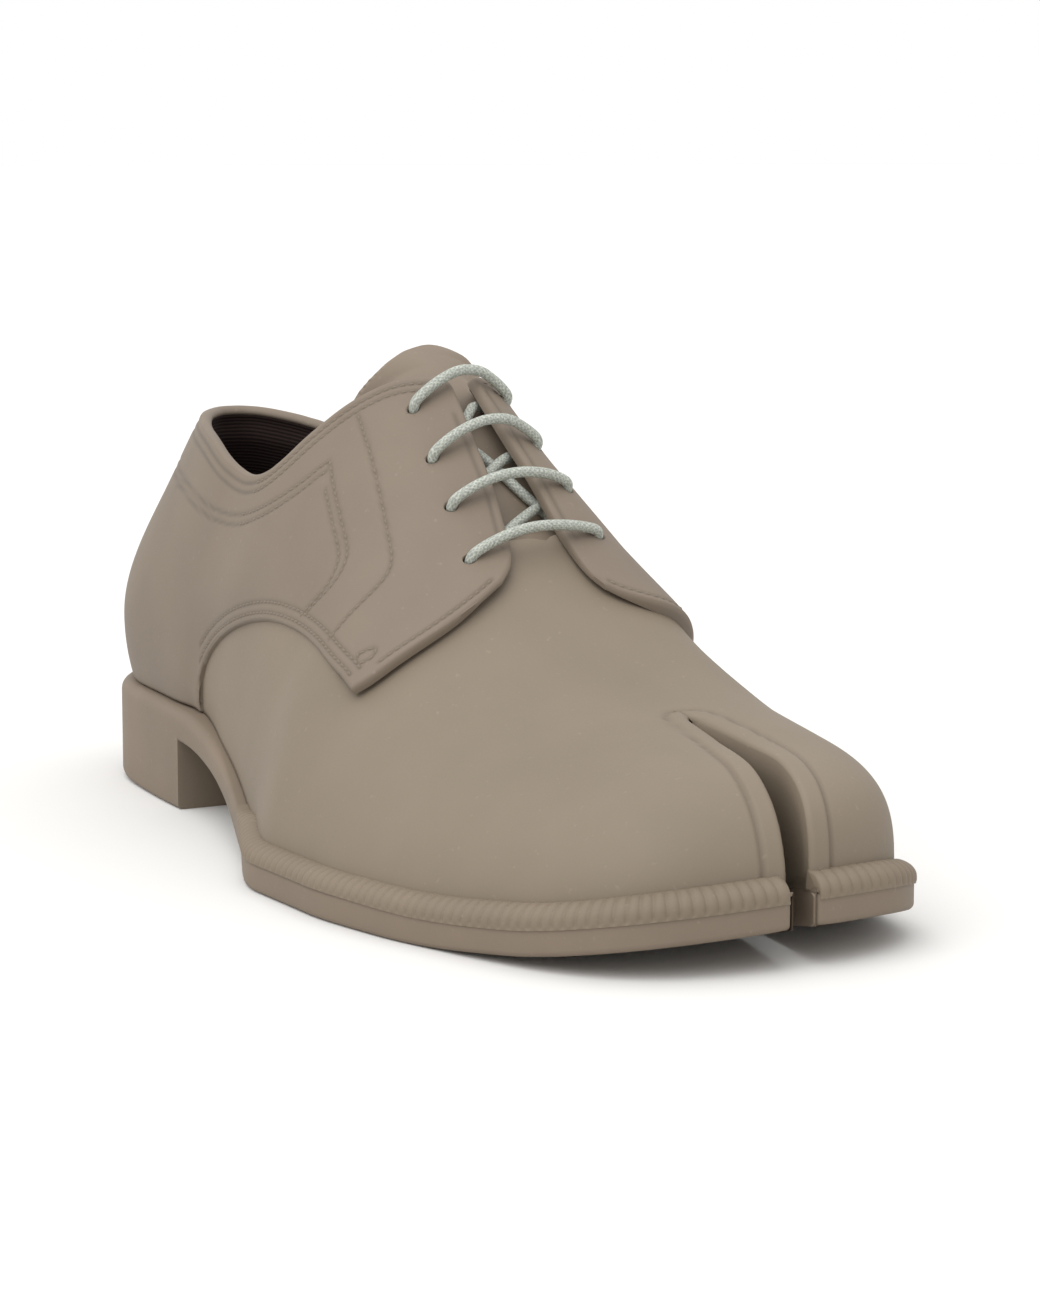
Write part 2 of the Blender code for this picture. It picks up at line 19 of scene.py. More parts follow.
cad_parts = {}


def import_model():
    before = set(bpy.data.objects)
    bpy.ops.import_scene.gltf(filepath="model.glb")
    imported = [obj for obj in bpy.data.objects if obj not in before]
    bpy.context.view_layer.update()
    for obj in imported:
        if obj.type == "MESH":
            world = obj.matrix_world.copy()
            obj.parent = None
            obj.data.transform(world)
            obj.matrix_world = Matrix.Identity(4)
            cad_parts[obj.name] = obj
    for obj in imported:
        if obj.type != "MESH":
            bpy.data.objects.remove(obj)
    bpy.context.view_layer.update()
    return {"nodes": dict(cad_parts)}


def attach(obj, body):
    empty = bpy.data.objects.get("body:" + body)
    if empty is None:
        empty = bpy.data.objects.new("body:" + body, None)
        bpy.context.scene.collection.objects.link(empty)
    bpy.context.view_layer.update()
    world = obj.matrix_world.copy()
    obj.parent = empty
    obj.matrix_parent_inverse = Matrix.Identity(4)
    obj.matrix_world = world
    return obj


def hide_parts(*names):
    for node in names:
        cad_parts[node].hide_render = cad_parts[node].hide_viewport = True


LOG = logging.getLogger("shoe")
Array = np.ndarray
MM = 0.001
ORIGIN = np.array((149.0, -6.39749467, 0.0))
BODY = "root"
QUARTER_TURN = 0.5 * np.pi

# Plan of the sole edge, from the crest line
PLAN = (
    # along, outer, inner, crest
    (0.0, 29.0, 28.5, 0.0),
    (20.0, 35.0, 33.5, 0.6),
    (45.0, 39.8, 35.0, 1.6),
    (70.0, 43.0, 32.5, 2.6),
    (95.0, 45.3, 28.3, 3.6),
    (120.0, 52.4, 24.0, 6.5),
    (150.0, 63.0, 24.6, 8.8),
    (180.0, 73.8, 32.1, 10.2),
    (205.0, 73.6, 38.7, 10.6),
    (228.0, 70.1, 40.2, 10.6),
    (250.0, 64.8, 37.4, 11.6),
    (270.0, 56.3, 35.3, 10.0),
    (283.0, 49.0, 35.0, 7.4),
    (298.0, 42.0, 34.6, 3.8),
)

# Heights of the ledge that carries the upper, and of the underside
SOLE_HEIGHTS = (
    # along, ledge, underside
    (0.0, 25.5, 17.0),
    (55.0, 25.5, 17.0),
    (82.0, 24.8, 17.0),
    (105.0, 21.0, 14.0),
    (130.0, 14.6, 8.4),
    (150.0, 9.4, 2.9),
    (163.0, 7.5, 0.5),
    (172.0, 7.0, 0.0),
    (200.0, 7.0, 0.0),
    (238.0, 7.0, 0.0),
    (265.0, 8.8, 1.8),
    (298.0, 14.3, 7.3),
)

# Ledge left outside the upper
LEDGE = (
    # along, width
    (0.0, 6.2),
    (80.0, 5.8),
    (112.0, 3.0),
    (150.0, 3.2),
    (180.0, 4.0),
    (298.0, 4.2),
)

# Crown of the last and the roundness of its two sides
CROWN = (
    # along, height, outer_power, inner_power
    (55.0, 128.0, 1.6, 1.6),
    (78.0, 128.0, 1.72, 1.72),
    (100.0, 126.0, 1.85, 2.0),
    (120.0, 120.0, 1.8, 2.5),
    (141.0, 108.5, 1.75, 3.0),
    (160.0, 91.5, 1.7, 3.3),
    (178.0, 75.0, 1.65, 3.05),
    (200.0, 58.5, 1.7, 2.7),
    (220.0, 48.0, 1.9, 2.95),
    (236.0, 43.0, 2.1, 3.4),
    (256.0, 39.0, 2.4, 3.35),
)

# Collar edge seen from the outer side
TOPLINE = (
    # along, height
    (-30.0, 99.0),
    (16.0, 97.0),
    (40.0, 95.5),
    (66.0, 91.9),
    (84.0, 86.0),
    (99.0, 83.0),
    (112.8, 86.6),
    (122.8, 97.0),
    (130.8, 105.5),
    (137.6, 109.5),
    (143.0, 112.0),
    (145.0, 150.0),
)

# Half width of the slot in the toe; below nought there is no slot
SLOT = (
    # along, half
    (0.0, -3.0),
    (240.6, -0.6),
    (241.6, 0.45),
    (245.0, 1.0),
    (252.0, 1.65),
    (259.0, 2.2),
    (270.0, 2.75),
    (283.0, 2.85),
    (310.0, 2.7),
)
SLOT_START = 241.2

# Half width of the throat opening of the base layer, hidden under the lace flaps
THROAT = (
    # along, outer, inner
    (0.0, 26.0, 18.0),
    (171.0, 26.0, 18.0),
    (176.0, 17.0, 11.0),
    (179.0, -1.0, -1.0),
    (310.0, -3.0, -3.0),
)

# Lower edge of the quarters from the ledge over the arch to the flap corner
ARCH = (
    # along, height
    (86.0, 26.0),
    (85.6, 29.5),
    (86.8, 33.8),
    (90.4, 38.8),
    (98.4, 44.4),
    (108.6, 48.4),
    (118.1, 51.4),
    (127.5, 53.4),
    (135.8, 54.3),
    (142.5, 54.6),
    (151.3, 54.3),
    (162.2, 53.2),
    (172.5, 50.9),
    (180.9, 48.0),
    (185.4, 46.0),
    (188.4, 44.5),
)

# Front of the outer lace flap from its corner up to the round of the facing
OUTER_FLAP = (
    # along, aside, height
    (188.4, -43.2, 44.5),
    (190.8, -40.0, 47.3),
    (192.2, -34.4, 51.5),
    (193.2, -27.8, 55.5),
    (193.2, -21.5, 58.9),
    (191.9, -13.5, 63.4),
    (189.6, -6.8, 67.1),
)

# Edge of the outer facing from that round up to the top of the flap
OUTER_FACING = (
    # along, aside
    (189.6, -6.8),
    (186.6, -2.6),
    (182.0, -0.4),
    (170.0, 2.3),
    (160.0, 3.2),
    (150.4, 3.7),
    (144.6, 4.2),
    (142.6, 3.4),
)

# Collar edge of the outer quarter from the top of the flap back to the heel
OUTER_COLLAR = (
    # along, height
    (134.7, 108.6),
    (130.8, 105.8),
    (127.0, 102.2),
    (122.8, 97.3),
    (112.8, 86.6),
    (99.6, 83.0),
    (83.7, 86.2),
    (66.0, 91.9),
    (42.0, 95.4),
)

# Front of the inner lace flap
INNER_FLAP = (
    # along, aside, height
    (188.4, 42.6, 44.5),
    (191.0, 40.6, 45.6),
    (193.4, 36.4, 47.6),
    (194.8, 31.0, 49.8),
    (194.8, 26.0, 52.6),
    (193.2, 20.6, 56.4),
    (190.6, 17.0, 60.0),
)

# Edge of the inner facing
INNER_FACING = (
    # along, aside
    (190.6, 17.0),
    (187.4, 14.8),
    (182.3, 13.6),
    (173.2, 12.9),
    (162.0, 12.4),
    (152.8, 11.1),
    (146.0, 9.8),
    (141.5, 9.0),
    (138.6, 9.4),
)

# Collar edge of the inner quarter
INNER_COLLAR = (
    # along, height
    (133.6, 105.6),
    (128.6, 100.6),
    (121.4, 92.4),
    (112.0, 84.4),
    (99.0, 78.2),
    (84.0, 78.4),
    (66.0, 83.4),
    (42.0, 91.4),
)
COLLAR_BACK_HEIGHT = 95.6

# Sewing-like rows moulded into the quarters, seen from the side
CHEVRON_BACK = (
    # along, height
    (132.8, 90.5),
    (139.7, 84.9),
    (148.2, 78.3),
    (155.3, 73.2),
    (158.6, 70.2),
    (160.0, 66.2),
    (158.9, 63.4),
    (156.6, 61.1),
    (153.8, 58.4),
)
CHEVRON_FRONT = (
    # along, height
    (132.2, 100.8),
    (140.2, 95.3),
    (147.6, 89.3),
    (155.6, 82.5),
    (165.0, 75.4),
    (169.6, 71.9),
    (172.4, 68.6),
    (173.0, 65.4),
    (172.6, 61.6),
    (171.4, 57.4),
    (170.4, 54.3),
)
BAND_UPPER = (
    # along, height
    (38.0, 82.8),
    (56.0, 79.8),
    (72.0, 76.2),
    (88.0, 74.0),
    (102.0, 74.8),
    (115.0, 78.3),
    (126.0, 84.0),
    (132.8, 90.3),
)
BAND_LOWER = (
    # along, height
    (38.0, 80.6),
    (56.0, 77.5),
    (72.0, 73.9),
    (88.0, 71.7),
    (102.0, 72.4),
    (116.0, 76.2),
    (127.0, 82.0),
    (134.3, 88.2),
)

# Small closed tack beside the flap corner
TACK = ((182.6, 51.8), (185.4, 53.6), (187.2, 51.2), (184.4, 49.4), (182.6, 51.8))

# Tongue outline from its round top to its root
TONGUE = (
    # along, outer, inner
    (118.5, -5.0, 6.2),
    (118.9, -3.2, 8.2),
    (119.5, -1.6, 9.8),
    (121.5, 2.8, 13.2),
    (124.6, 8.0, 16.0),
    (126.8, 13.6, 17.4),
    (128.0, 20.0, 17.2),
    (129.2, 24.0, 17.0),
    (138.0, 28.0, 16.0),
    (150.0, 28.5, 15.6),
    (192.0, 28.0, 17.0),
    (199.0, 20.0, 15.0),
)

# Lace eyelets from the low pair to the top pair, aside from the crest line
EYELETS = (
    # along, outer, inner
    (181.3, 21.0, 12.5),
    (168.8, 18.8, 11.8),
    (156.3, 16.6, 11.2),
    (143.8, 14.4, 10.5),
)


class Side(Enum):
    """The two sides of the shoe, with the sign of their y."""

    OUTER = -1
    INNER = 1


def smooth(table: tuple, column: int, at: Array | float) -> Array:
    """Smooth curve through one column of a table, without overshoot.

    A cubic runs between neighbouring rows, with each inner slope the weighted harmonic mean of
    the slopes beside it, or nought where they differ in sign.

    Args:
        table: Rows of numbers that rise in their first column.
        column: Column to read.
        at: Places along the first column.

    Returns:
        The column's values at those places.
    """
    rows = np.array(table)
    xs = rows[:, 0]
    ys = rows[:, column]
    at = np.clip(at, xs[0], xs[-1])
    step = np.diff(xs)
    slope = np.diff(ys) / step
    before, after = slope[:-1], slope[1:]
    weight_a = 2.0 * step[1:] + step[:-1]
    weight_b = step[1:] + 2.0 * step[:-1]
    same = before * after > 0.0
    mean = (weight_a + weight_b) / (
        weight_a / np.where(same, before, 1.0) + weight_b / np.where(same, after, 1.0)
    )
    tangent = np.concatenate((slope[:1], np.where(same, mean, 0.0), slope[-1:]))
    k = np.clip(np.searchsorted(xs, at, side="right") - 1, 0, len(xs) - 2)
    t = (at - xs[k]) / step[k]
    run = step[k]
    rise = (1.0 + 2.0 * t) * (1.0 - t) ** 2 * ys[k] + t * t * (3.0 - 2.0 * t) * ys[k + 1]
    return rise + run * (t * (1.0 - t) ** 2 * tangent[k] + t * t * (t - 1.0) * tangent[k + 1])


def unit(vectors: Array) -> Array:
    """Vectors scaled to length one along their last axis."""
    return vectors / np.maximum(np.linalg.norm(vectors, axis=-1, keepdims=True), 1e-9)


def ramp(value: Array, low: float, high: float) -> Array:
    """Soft step from nought at low to one at high: three t squared less two t cubed."""
    t = np.clip((value - low) / (high - low), 0.0, 1.0)
    return t * t * (3.0 - 2.0 * t)


def fall(value: Array, low: float, high: float) -> Array:
    """Soft step from one at low down to nought at high."""
    return ramp(-value, -high, -low)


def edge_drop(gap: Array, radius: float, steep: float = 1.0) -> Array:
    """Drop of a rounded edge at distances from it, by a quarter circle.

    Args:
        gap: Distances from the edge.
        radius: Radius of the rounding.
        steep: Share of the quarter circle that is used, below one to stay short of upright.

    Returns:
        Drops, one for each distance.
    """
    near = steep * np.clip(1.0 - gap / radius, 0.0, 1.0)
    return radius * (1.0 - np.sqrt(1.0 - near ** 2))


def clear_of_slot(plan: Array, side: Side) -> Array:
    """Distance of plan places from the slot's edge on one side, below nought inside the slot."""
    return side.value * (plan[:, 1] - smooth(PLAN, 3, plan[:, 0])) - smooth(SLOT, 1, plan[:, 0])


def rings(turn: Array, first: Array, second: Array) -> Array:
    """Circles of radius one: cosine along the first directions and sine along the second."""
    cosine, sine = np.cos(turn)[None, :, None], np.sin(turn)[None, :, None]
    return cosine * first[:, None] + sine * second[:, None]


def round_corners(points: Array, times: int = 3) -> Array:
    """Polyline with its corners cut at a quarter of each run, several times over.

    Args:
        points: Polyline, one point to a row.
        times: How often the corners are cut.

    Returns:
        The rounded polyline, with the same ends.
    """
    for _ in range(times):
        step = 0.25 * np.diff(points, axis=0)
        mixed = np.stack((points[:-1] + step, points[1:] - step), axis=1)
        points = np.concatenate((points[:1], mixed.reshape(-1, points.shape[1]), points[-1:]))
    return points


def walk_of(points: Array) -> Array:
    """Distance walked along a polyline up to each of its points."""
    return np.concatenate(([0.0], np.cumsum(np.linalg.norm(np.diff(points, axis=0), axis=1))))


def at_walk(values: Array, walk: Array, want: Array) -> Array:
    """Columns of values read at wanted distances along a walk."""
    return np.column_stack([np.interp(want, walk, values[:, c]) for c in range(values.shape[1])])


def nearest_gap(points: Array, line: Array) -> Array:
    """Distance from each point to the nearest point of a dense line.

    Args:
        points: Places, shaped (count, 3).
        line: Dense line, shaped (count, 3).

    Returns:
        One distance for each place.
    """
    gaps = []
    for part in np.array_split(points, max(1, len(points) // 4000)):
        square = (part ** 2).sum(1)[:, None] + (line ** 2).sum(1)[None] - 2.0 * part @ line.T
        gaps.append(np.sqrt(np.maximum(square.min(axis=1), 0.0)))
    return np.concatenate(gaps)


def grid_faces(rows: int, columns: int, start: int = 0, wrap: bool = False) -> Array:
    """Quads of a grid of points stored row by row.

    Args:
        rows: Number of rows.
        columns: Number of points in a row.
        start: Index of the grid's first point.
        wrap: True where the last column joins the first.

    Returns:
        Corner indices, four to a face.
    """
    r, c = np.meshgrid(np.arange(rows - 1), np.arange(columns if wrap else columns - 1), indexing="ij")
    n = (c + 1) % columns
    quads = (r * columns + c, r * columns + n, (r + 1) * columns + n, (r + 1) * columns + c)
    return np.stack(quads, axis=-1).reshape(-1, 4) + start


def tube_faces(rows: int, columns: int, start: int = 0) -> list:
    """Faces of a tube of rings stored one after another, with a cap at each end.

    Args:
        rows: Number of rings.
        columns: Number of points in a ring.
        start: Index of the tube's first point.

    Returns:
        Corner indices of each face.
    """
    last = start + (rows - 1) * columns
    faces = grid_faces(rows, columns, start, wrap=True).tolist()
    faces.append(list(range(start, start + columns)))
    faces.append(list(range(last, last + columns)))
    return faces


def sheet_faces(rows: int, columns: int) -> list:
    """Faces of a closed sheet: a grid of points, a like grid under it and the rim between them.

    Args:
        rows: Number of rows of each grid.
        columns: Number of points in a row.

    Returns:
        Corner indices, four to a face.
    """
    size = rows * columns
    skin = grid_faces(rows, columns)
    ring = np.concatenate((
        np.arange(columns),
        np.arange(1, rows) * columns + columns - 1,
        (rows - 1) * columns + np.arange(columns - 2, -1, -1),
        np.arange(rows - 2, 0, -1) * columns,
    ))
    after = np.roll(ring, -1)
    sides = np.stack((ring, after, after + size, ring + size), axis=-1)
    return np.concatenate((skin, skin[:, ::-1] + size, sides)).tolist()


class Builder:
    """Turns millimetre arrays into mesh objects in the model's frame."""

    # Points nearer than this, in millimetres, are merged
    JOIN = 0.012
    # Share of a wall's thickness that is kept where the wall is thin
    THIN = 0.08

    @staticmethod
    def mesh(
        name: str, points: Array, faces: list, uv: Array | None = None,
        sharp: float = 0.7, shade: Array | None = None,
    ) -> bpy.types.Object:
        """Closed, smooth-shaded object with coincident points merged and faces turned outwards.

        Args:
            name: Object name.
            points: Places in millimetres, shaped (count, 3).
            faces: Corner indices of each face.
            uv: Map places of the points in millimetres, or None.
            sharp: Edge angle in radians above which shading breaks.
            shade: How deep each point lies in a row or groove, 0 to 1, or None; kept as a point attribute
                that places the painted shade in the grooves.

        Returns:
            The linked object.
        """
        mesh = bpy.data.meshes.new(name)
        mesh.from_pydata(((points - ORIGIN) * MM).tolist(), [], [list(map(int, f)) for f in faces])
        if uv is not None:
            layer = mesh.uv_layers.new(name="surface_mm")
            corner = np.empty(len(mesh.loops), dtype=np.int32)
            mesh.loops.foreach_get("vertex_index", corner)
            layer.data.foreach_set("uv", uv[corner].astype(np.float32).ravel())
        if shade is not None:
            depth = mesh.attributes.new("painted_shade_weight", "FLOAT", "POINT")
            depth.data.foreach_set("value", shade.astype(np.float32))
        shop = bmesh.new()
        shop.from_mesh(mesh)
        bmesh.ops.remove_doubles(shop, verts=shop.verts, dist=Builder.JOIN * MM)
        bmesh.ops.dissolve_degenerate(shop, edges=shop.edges, dist=1e-7)
        bmesh.ops.recalc_face_normals(shop, faces=shop.faces)
        shop.to_mesh(mesh)
        shop.free()
        mesh.polygons.foreach_set("use_smooth", np.ones(len(mesh.polygons), dtype=bool))
        mesh.set_sharp_from_angle(angle=sharp)
        made = bpy.data.objects.new(name, mesh)
        bpy.context.scene.collection.objects.link(made)
        return made

    @staticmethod
    def apply(piece: bpy.types.Object) -> None:
        """Replace a piece's mesh by the result of its modifiers.

        Args:
            piece: The piece.
        """
        bpy.context.view_layer.update()
        seen = piece.evaluated_get(bpy.context.evaluated_depsgraph_get())
        done = bpy.data.meshes.new_from_object(seen)
        piece.modifiers.clear()
        piece.data = done

    @staticmethod
    def wall(piece: bpy.types.Object, thickness: float, full: Array | None = None) -> None:
        """Give an open sheet a wall on its inner side, thin where it is marked.

        Args:
            piece: The open sheet.
            thickness: Thickness in millimetres.
            full: For each vertex, True where the wall is full and False where it is thin.
        """
        solid = piece.modifiers.new("wall", "SOLIDIFY")
        solid.thickness = thickness * MM
        solid.offset = -1.0
        if full is not None:
            group = piece.vertex_groups.new(name="full_wall")
            group.add(np.flatnonzero(full).tolist(), 1.0, "REPLACE")
            solid.vertex_group = group.name
            solid.thickness_vertex_group = Builder.THIN
        Builder.apply(piece)
        piece.vertex_groups.clear()

    @staticmethod
    def settle(piece: bpy.types.Object, slot: str, *nodes: str) -> bpy.types.Object:
        """Let a piece ride on the shoe and stand for solids it replaces.

        Args:
            piece: The piece.
            slot: Slot of the finish; not used.
            nodes: Solids that the piece replaces.

        Returns:
            The same piece.
        """
        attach(piece, BODY)
        if nodes:
            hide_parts(*nodes)
        LOG.info("%s: %d faces", piece.name, len(piece.data.polygons))
        return piece


@dataclass
class Last:
    """Outside form of the upper, as a function of a turn round the plan and a rise to the crest.

    A place is (round, rise): round runs from -1 at the toe down the outer side to 0 at the heel
    and up the inner side to 1; rise runs from 0 at the feather edge to a quarter turn at the crest.
    """

    length: float = 298.0
    heel_round: float = 45.0
    heel_power: float = 2.3
    toe_round: float = 32.0
    toe_power: float = 3.0
    spine_heel: float = 55.0
    spine_toe: float = 256.0
    heel_bulge: float = 6.3
    bulge_scale: float = 4.8
    bulge_power: float = 8.0
    bulge_end: float = 82.0
    bulge_soft: float = 0.08
    bulge_fade: tuple = (105.0, 150.0)
    heel_draw: float = 6.2
    draw_heights: tuple = (42.0, 80.0)
    back_draw: float = 0.8
    bend_start: tuple = (160.0, 190.0)
    bend_end: tuple = (222.0, 243.0)
    fill_start: tuple = (150.0, 170.0)
    fill_end: tuple = (226.0, 250.0)
    crest_round: float = 9.0
    toe_lift: float = 2.2
    lift_start: float = 240.0
    gap: float = 0.3
    samples: int = 1601
    share: Array = field(init=False)
    ribs: dict = field(init=False)

    def __post_init__(self) -> None:
        """Work out the ribs of both sides once."""
        self.share = np.linspace(0.0, 1.0, self.samples)
        self.ribs = {side: self._ribs(side) for side in Side}

    def end_round(self, at: Array) -> Array:
        """Share of the full width kept near the rounded ends, by a superellipse.

        Args:
            at: Stations in millimetres.

        Returns:
            Shares, 0 to 1.
        """
        heel = np.clip(1.0 - at / self.heel_round, 0.0, 1.0)
        toe = np.clip(1.0 - (self.length - at) / self.toe_round, 0.0, 1.0)
        heel_share = (1.0 - heel ** self.heel_power) ** (1.0 / self.heel_power)
        return heel_share * (1.0 - toe ** self.toe_power) ** (1.0 / self.toe_power)

    def stations(self, share: Array) -> Array:
        """Stations along the shoe at shares of the way round the sole edge.

        Args:
            share: Shares of the walk from the heel to the toe.

        Returns:
            Stations in millimetres.
        """
        fine = 0.5 * self.length * (1.0 - np.cos(np.linspace(0.0, np.pi, 4001)))
        reach = 0.5 * (smooth(PLAN, 1, fine) + smooth(PLAN, 2, fine)) * self.end_round(fine)
        walk = walk_of(np.column_stack((fine, reach)))
        return np.interp(share * walk[-1], walk, fine)

    def edge(self, at: Array, side: Side, inset: Array | float) -> tuple[Array, Array]:
        """Sole edge of one side, moved inwards square to itself, and its outward direction.

        Args:
            at: Stations in millimetres, evenly walked.
            side: Side of the shoe.
            inset: Distance moved inwards.

        Returns:
            Plan places and outward directions, each shaped (count, 2).
        """
        sign = float(side.value)
        column = 1 if side is Side.OUTER else 2
        reach = sign * smooth(PLAN, column, at) * self.end_round(at)
        line = np.column_stack((at, smooth(PLAN, 3, at) + reach))
        run = unit(np.gradient(line, axis=0))
        out = sign * np.column_stack((-run[:, 1], run[:, 0]))
        out[at <= 1e-6] = (-1.0, 0.0)
        out[at >= self.length - 1e-6] = (1.0, 0.0)
        return line - np.reshape(inset, (-1, 1)) * out, out

    def lift(self, plan: Array) -> Array:
        """Extra toe spring, squared along the toe and even across it towards the inner edge.

        Args:
            plan: Plan places, with a last axis of two.

        Returns:
            Heights in millimetres.
        """
        outer = smooth(PLAN, 1, plan[..., 0])
        inner = smooth(PLAN, 2, plan[..., 0])
        across = (plan[..., 1] - smooth(PLAN, 3, plan[..., 0]) + outer) / (outer + inner)
        ahead = np.clip((plan[..., 0] - self.lift_start) / (self.length - self.lift_start), 0.0, 1.0)
        return self.toe_lift * ahead ** 2 * np.clip(across, 0.0, 1.0)

    def ledge(self, plan: Array) -> Array:
        """Height of the ledge at plan places."""
        return smooth(SOLE_HEIGHTS, 1, plan[..., 0]) + self.lift(plan)

    def _ribs(self, side: Side) -> Array:
        """Values of the ribs along one side, in the order in which point reads them.

        Args:
            side: Side of the shoe.

        Returns:
            One row for each rib, eleven values to a row.
        """
        at = self.stations(self.share)
        foot, _ = self.edge(at, side, smooth(LEDGE, 1, at))
        run = unit(np.gradient(foot, axis=0))
        out = side.value * np.column_stack((-run[:, 1], run[:, 0]))
        out[0] = (-1.0, 0.0)
        out[-1] = (1.0, 0.0)
        spine = self.spine_heel + (self.spine_toe - self.spine_heel) * at / self.length
        power = 2.0 / smooth(CROWN, 2 if side is Side.OUTER else 3, spine)
        back = 1.0 - at / self.bulge_end
        bulge = 0.5 * (back + np.sqrt(back ** 2 + self.bulge_soft)) * fall(at, *self.bulge_fade)
        base = self.ledge(foot) + self.gap
        crest = smooth(PLAN, 3, spine)
        crown = smooth(CROWN, 1, spine)
        bend = 1.0 + ramp(spine, *self.bend_start) * fall(spine, *self.bend_end)
        return np.column_stack((foot, base, spine, crest, crown, power, out, bulge, bend))

    def point(self, turn: Array, rise: Array) -> Array:
        """Places on the last.

        Each rib leaves its foot and rises to the crest as a superellipse, with a swell at the heel
        that goes as sine times a power of cosine, and is drawn in above it. On the vamp the ribs bend
        in plan, by a power of their reach, to leave the crest squarely, and the outer side is filled
        beside it, so that the distance to the power of the fullness turns to a soft arch there.

        Args:
            turn: Places round the plan, -1 to 1.
            rise: Rise angles, 0 to a quarter turn.

        Returns:
            Places in millimetres, with a last axis of three.
        """
        turn, rise = np.broadcast_arrays(np.asarray(turn, float), np.asarray(rise, float))
        share = np.clip(np.abs(turn), 0.0, 1.0)
        both = [
            np.stack([np.interp(share, self.share, rib[:, c]) for c in range(rib.shape[1])])
            for rib in self.ribs.values()
        ]
        (
            foot_x, foot_y, base, spine, crest, crown, power, out_x, out_y, bulge, bend,
        ) = np.where(turn < 0.0, *both)
        rise = np.clip(rise, 0.0, QUARTER_TURN)
        up = np.sin(rise) ** power
        out = np.maximum(np.cos(rise), 0.0) ** power
        swell = self.bulge_scale * np.sin(rise) * np.maximum(np.cos(rise), 0.0) ** self.bulge_power
        z = base + (crown - base) * up
        drawn = self.heel_draw * ramp(z, *self.draw_heights) * (1.0 - self.back_draw * out_x ** 2)
        push = bulge * (self.heel_bulge * swell - drawn)
        x = spine + (foot_x - spine) * out ** bend + push * out_x
        y = crest + (foot_y - crest) * out + push * out_y
        full = 2.0 / power
        far, soft = np.abs(y - crest), self.crest_round
        fill = np.maximum(far ** full + soft ** full - (far ** 2 + soft ** 2) ** (0.5 * full), 0.0)
        fill = fill * (crown - base) / full / np.abs(foot_y - crest + 1e-6) ** full
        fill = fill * ramp(x, *self.fill_start) * fall(x, *self.fill_end) * (turn < 0.0)
        return np.stack((x, y, z + fill), axis=-1)

    def normal(self, turn: Array, rise: Array) -> Array:
        """Outward directions, from the cross product of the two central differences.

        Args:
            turn: Places round the plan, -1 to 1.
            rise: Rise angles.

        Returns:
            Directions of length one, with a last axis of three.
        """
        turn, rise = np.broadcast_arrays(np.asarray(turn, float), np.asarray(rise, float))
        small, tilt = 0.002, 0.03
        safe = np.clip(rise, tilt, QUARTER_TURN - tilt)
        round_way = self.point(turn + small, safe) - self.point(turn - small, safe)
        up_way = self.point(turn, safe + tilt) - self.point(turn, safe - tilt)
        return unit(np.cross(up_way, round_way))

    def raised(self, turn: Array, rise: Array, height: Array | float) -> Array:
        """Places moved out from the last along its normals by a height."""
        return self.point(turn, rise) + np.asarray(height, float)[..., None] * self.normal(turn, rise)

    def locate(self, side: Side, targets: Array, axes: tuple, height: float = 2.6) -> Array:
        """Places (round, rise) whose raised points lie nearest to targets along some axes.

        The nearest point of a coarse grid is improved by damped least-squares steps.

        Args:
            side: Side of the shoe.
            targets: Wanted values along the axes, shaped (count, axes).
            axes: Axes that are compared.
            height: Height above the last.

        Returns:
            Round and rise, shaped (count, 2).
        """
        targets = np.asarray(targets, float)
        axes = list(axes)
        coarse = np.linspace(0.002, 0.96, 200), np.linspace(0.03, 1.54, 90)
        share, angle = np.meshgrid(*coarse, indexing="ij")
        spots = self.raised(side.value * share, angle, height)[..., axes].reshape(-1, len(axes))
        best = ((targets[:, None] - spots[None]) ** 2).sum(-1).argmin(axis=1)
        found = np.column_stack((side.value * share.ravel()[best], angle.ravel()[best]))
        small = 1e-3
        for _ in range(6):
            here = self.raised(found[:, 0], found[:, 1], height)[:, axes]
            by_turn = (self.raised(found[:, 0] + small, found[:, 1], height)[:, axes] - here) / small
            by_rise = (self.raised(found[:, 0], found[:, 1] + small, height)[:, axes] - here) / small
            slopes = np.stack((by_turn, by_rise), axis=-1)
            square = np.einsum("kai,kaj->kij", slopes, slopes) + 1e-3 * np.eye(2)
            pull = np.einsum("kai,ka->ki", slopes, targets - here)
            step = np.linalg.solve(square, pull[..., None])[..., 0]
            found = found + np.clip(step, -0.02, 0.02)
            found[:, 1] = np.clip(found[:, 1], 0.0, QUARTER_TURN - 0.005)
        return found

    def beside_crest(self, along: Array, aside: Array, level: float) -> tuple[Array, Array]:
        """Places on the last, and normals, under stations and distances from the crest line.

        Args:
            along: Stations in millimetres.
            aside: Distance from the crest line, below nought on the outer side.
            level: Height above the last at which the stations and distances hold.

        Returns:
            Places and normals, each shaped (count, 3).
        """
        plan = np.column_stack((along, smooth(PLAN, 3, along) + aside))
        places = np.empty((len(plan), 2))
        for side in Side:
            mine = np.sign(aside) == side.value if side is Side.OUTER else aside >= 0.0
            if mine.any():
                places[mine] = self.locate(side, plan[mine], (0, 1), level)
        normal = self.normal(places[:, 0], places[:, 1])
        return self.point(places[:, 0], places[:, 1]), normal


def linear(code: str) -> tuple[float, float, float, float]:
    """Linear colour of an sRGB hex value such as "#A09080".

    Args:
        code: Hex value of red, green and blue.

    Returns:
        Red, green, blue and one for opaque.
    """
    shade = np.array([int(code[k:k + 2], 16) / 255.0 for k in (1, 3, 5)])
    low = shade / 12.92
    high = ((shade + 0.055) / 1.055) ** 2.4
    return (*np.where(shade <= 0.04045, low, high).tolist(), 1.0)


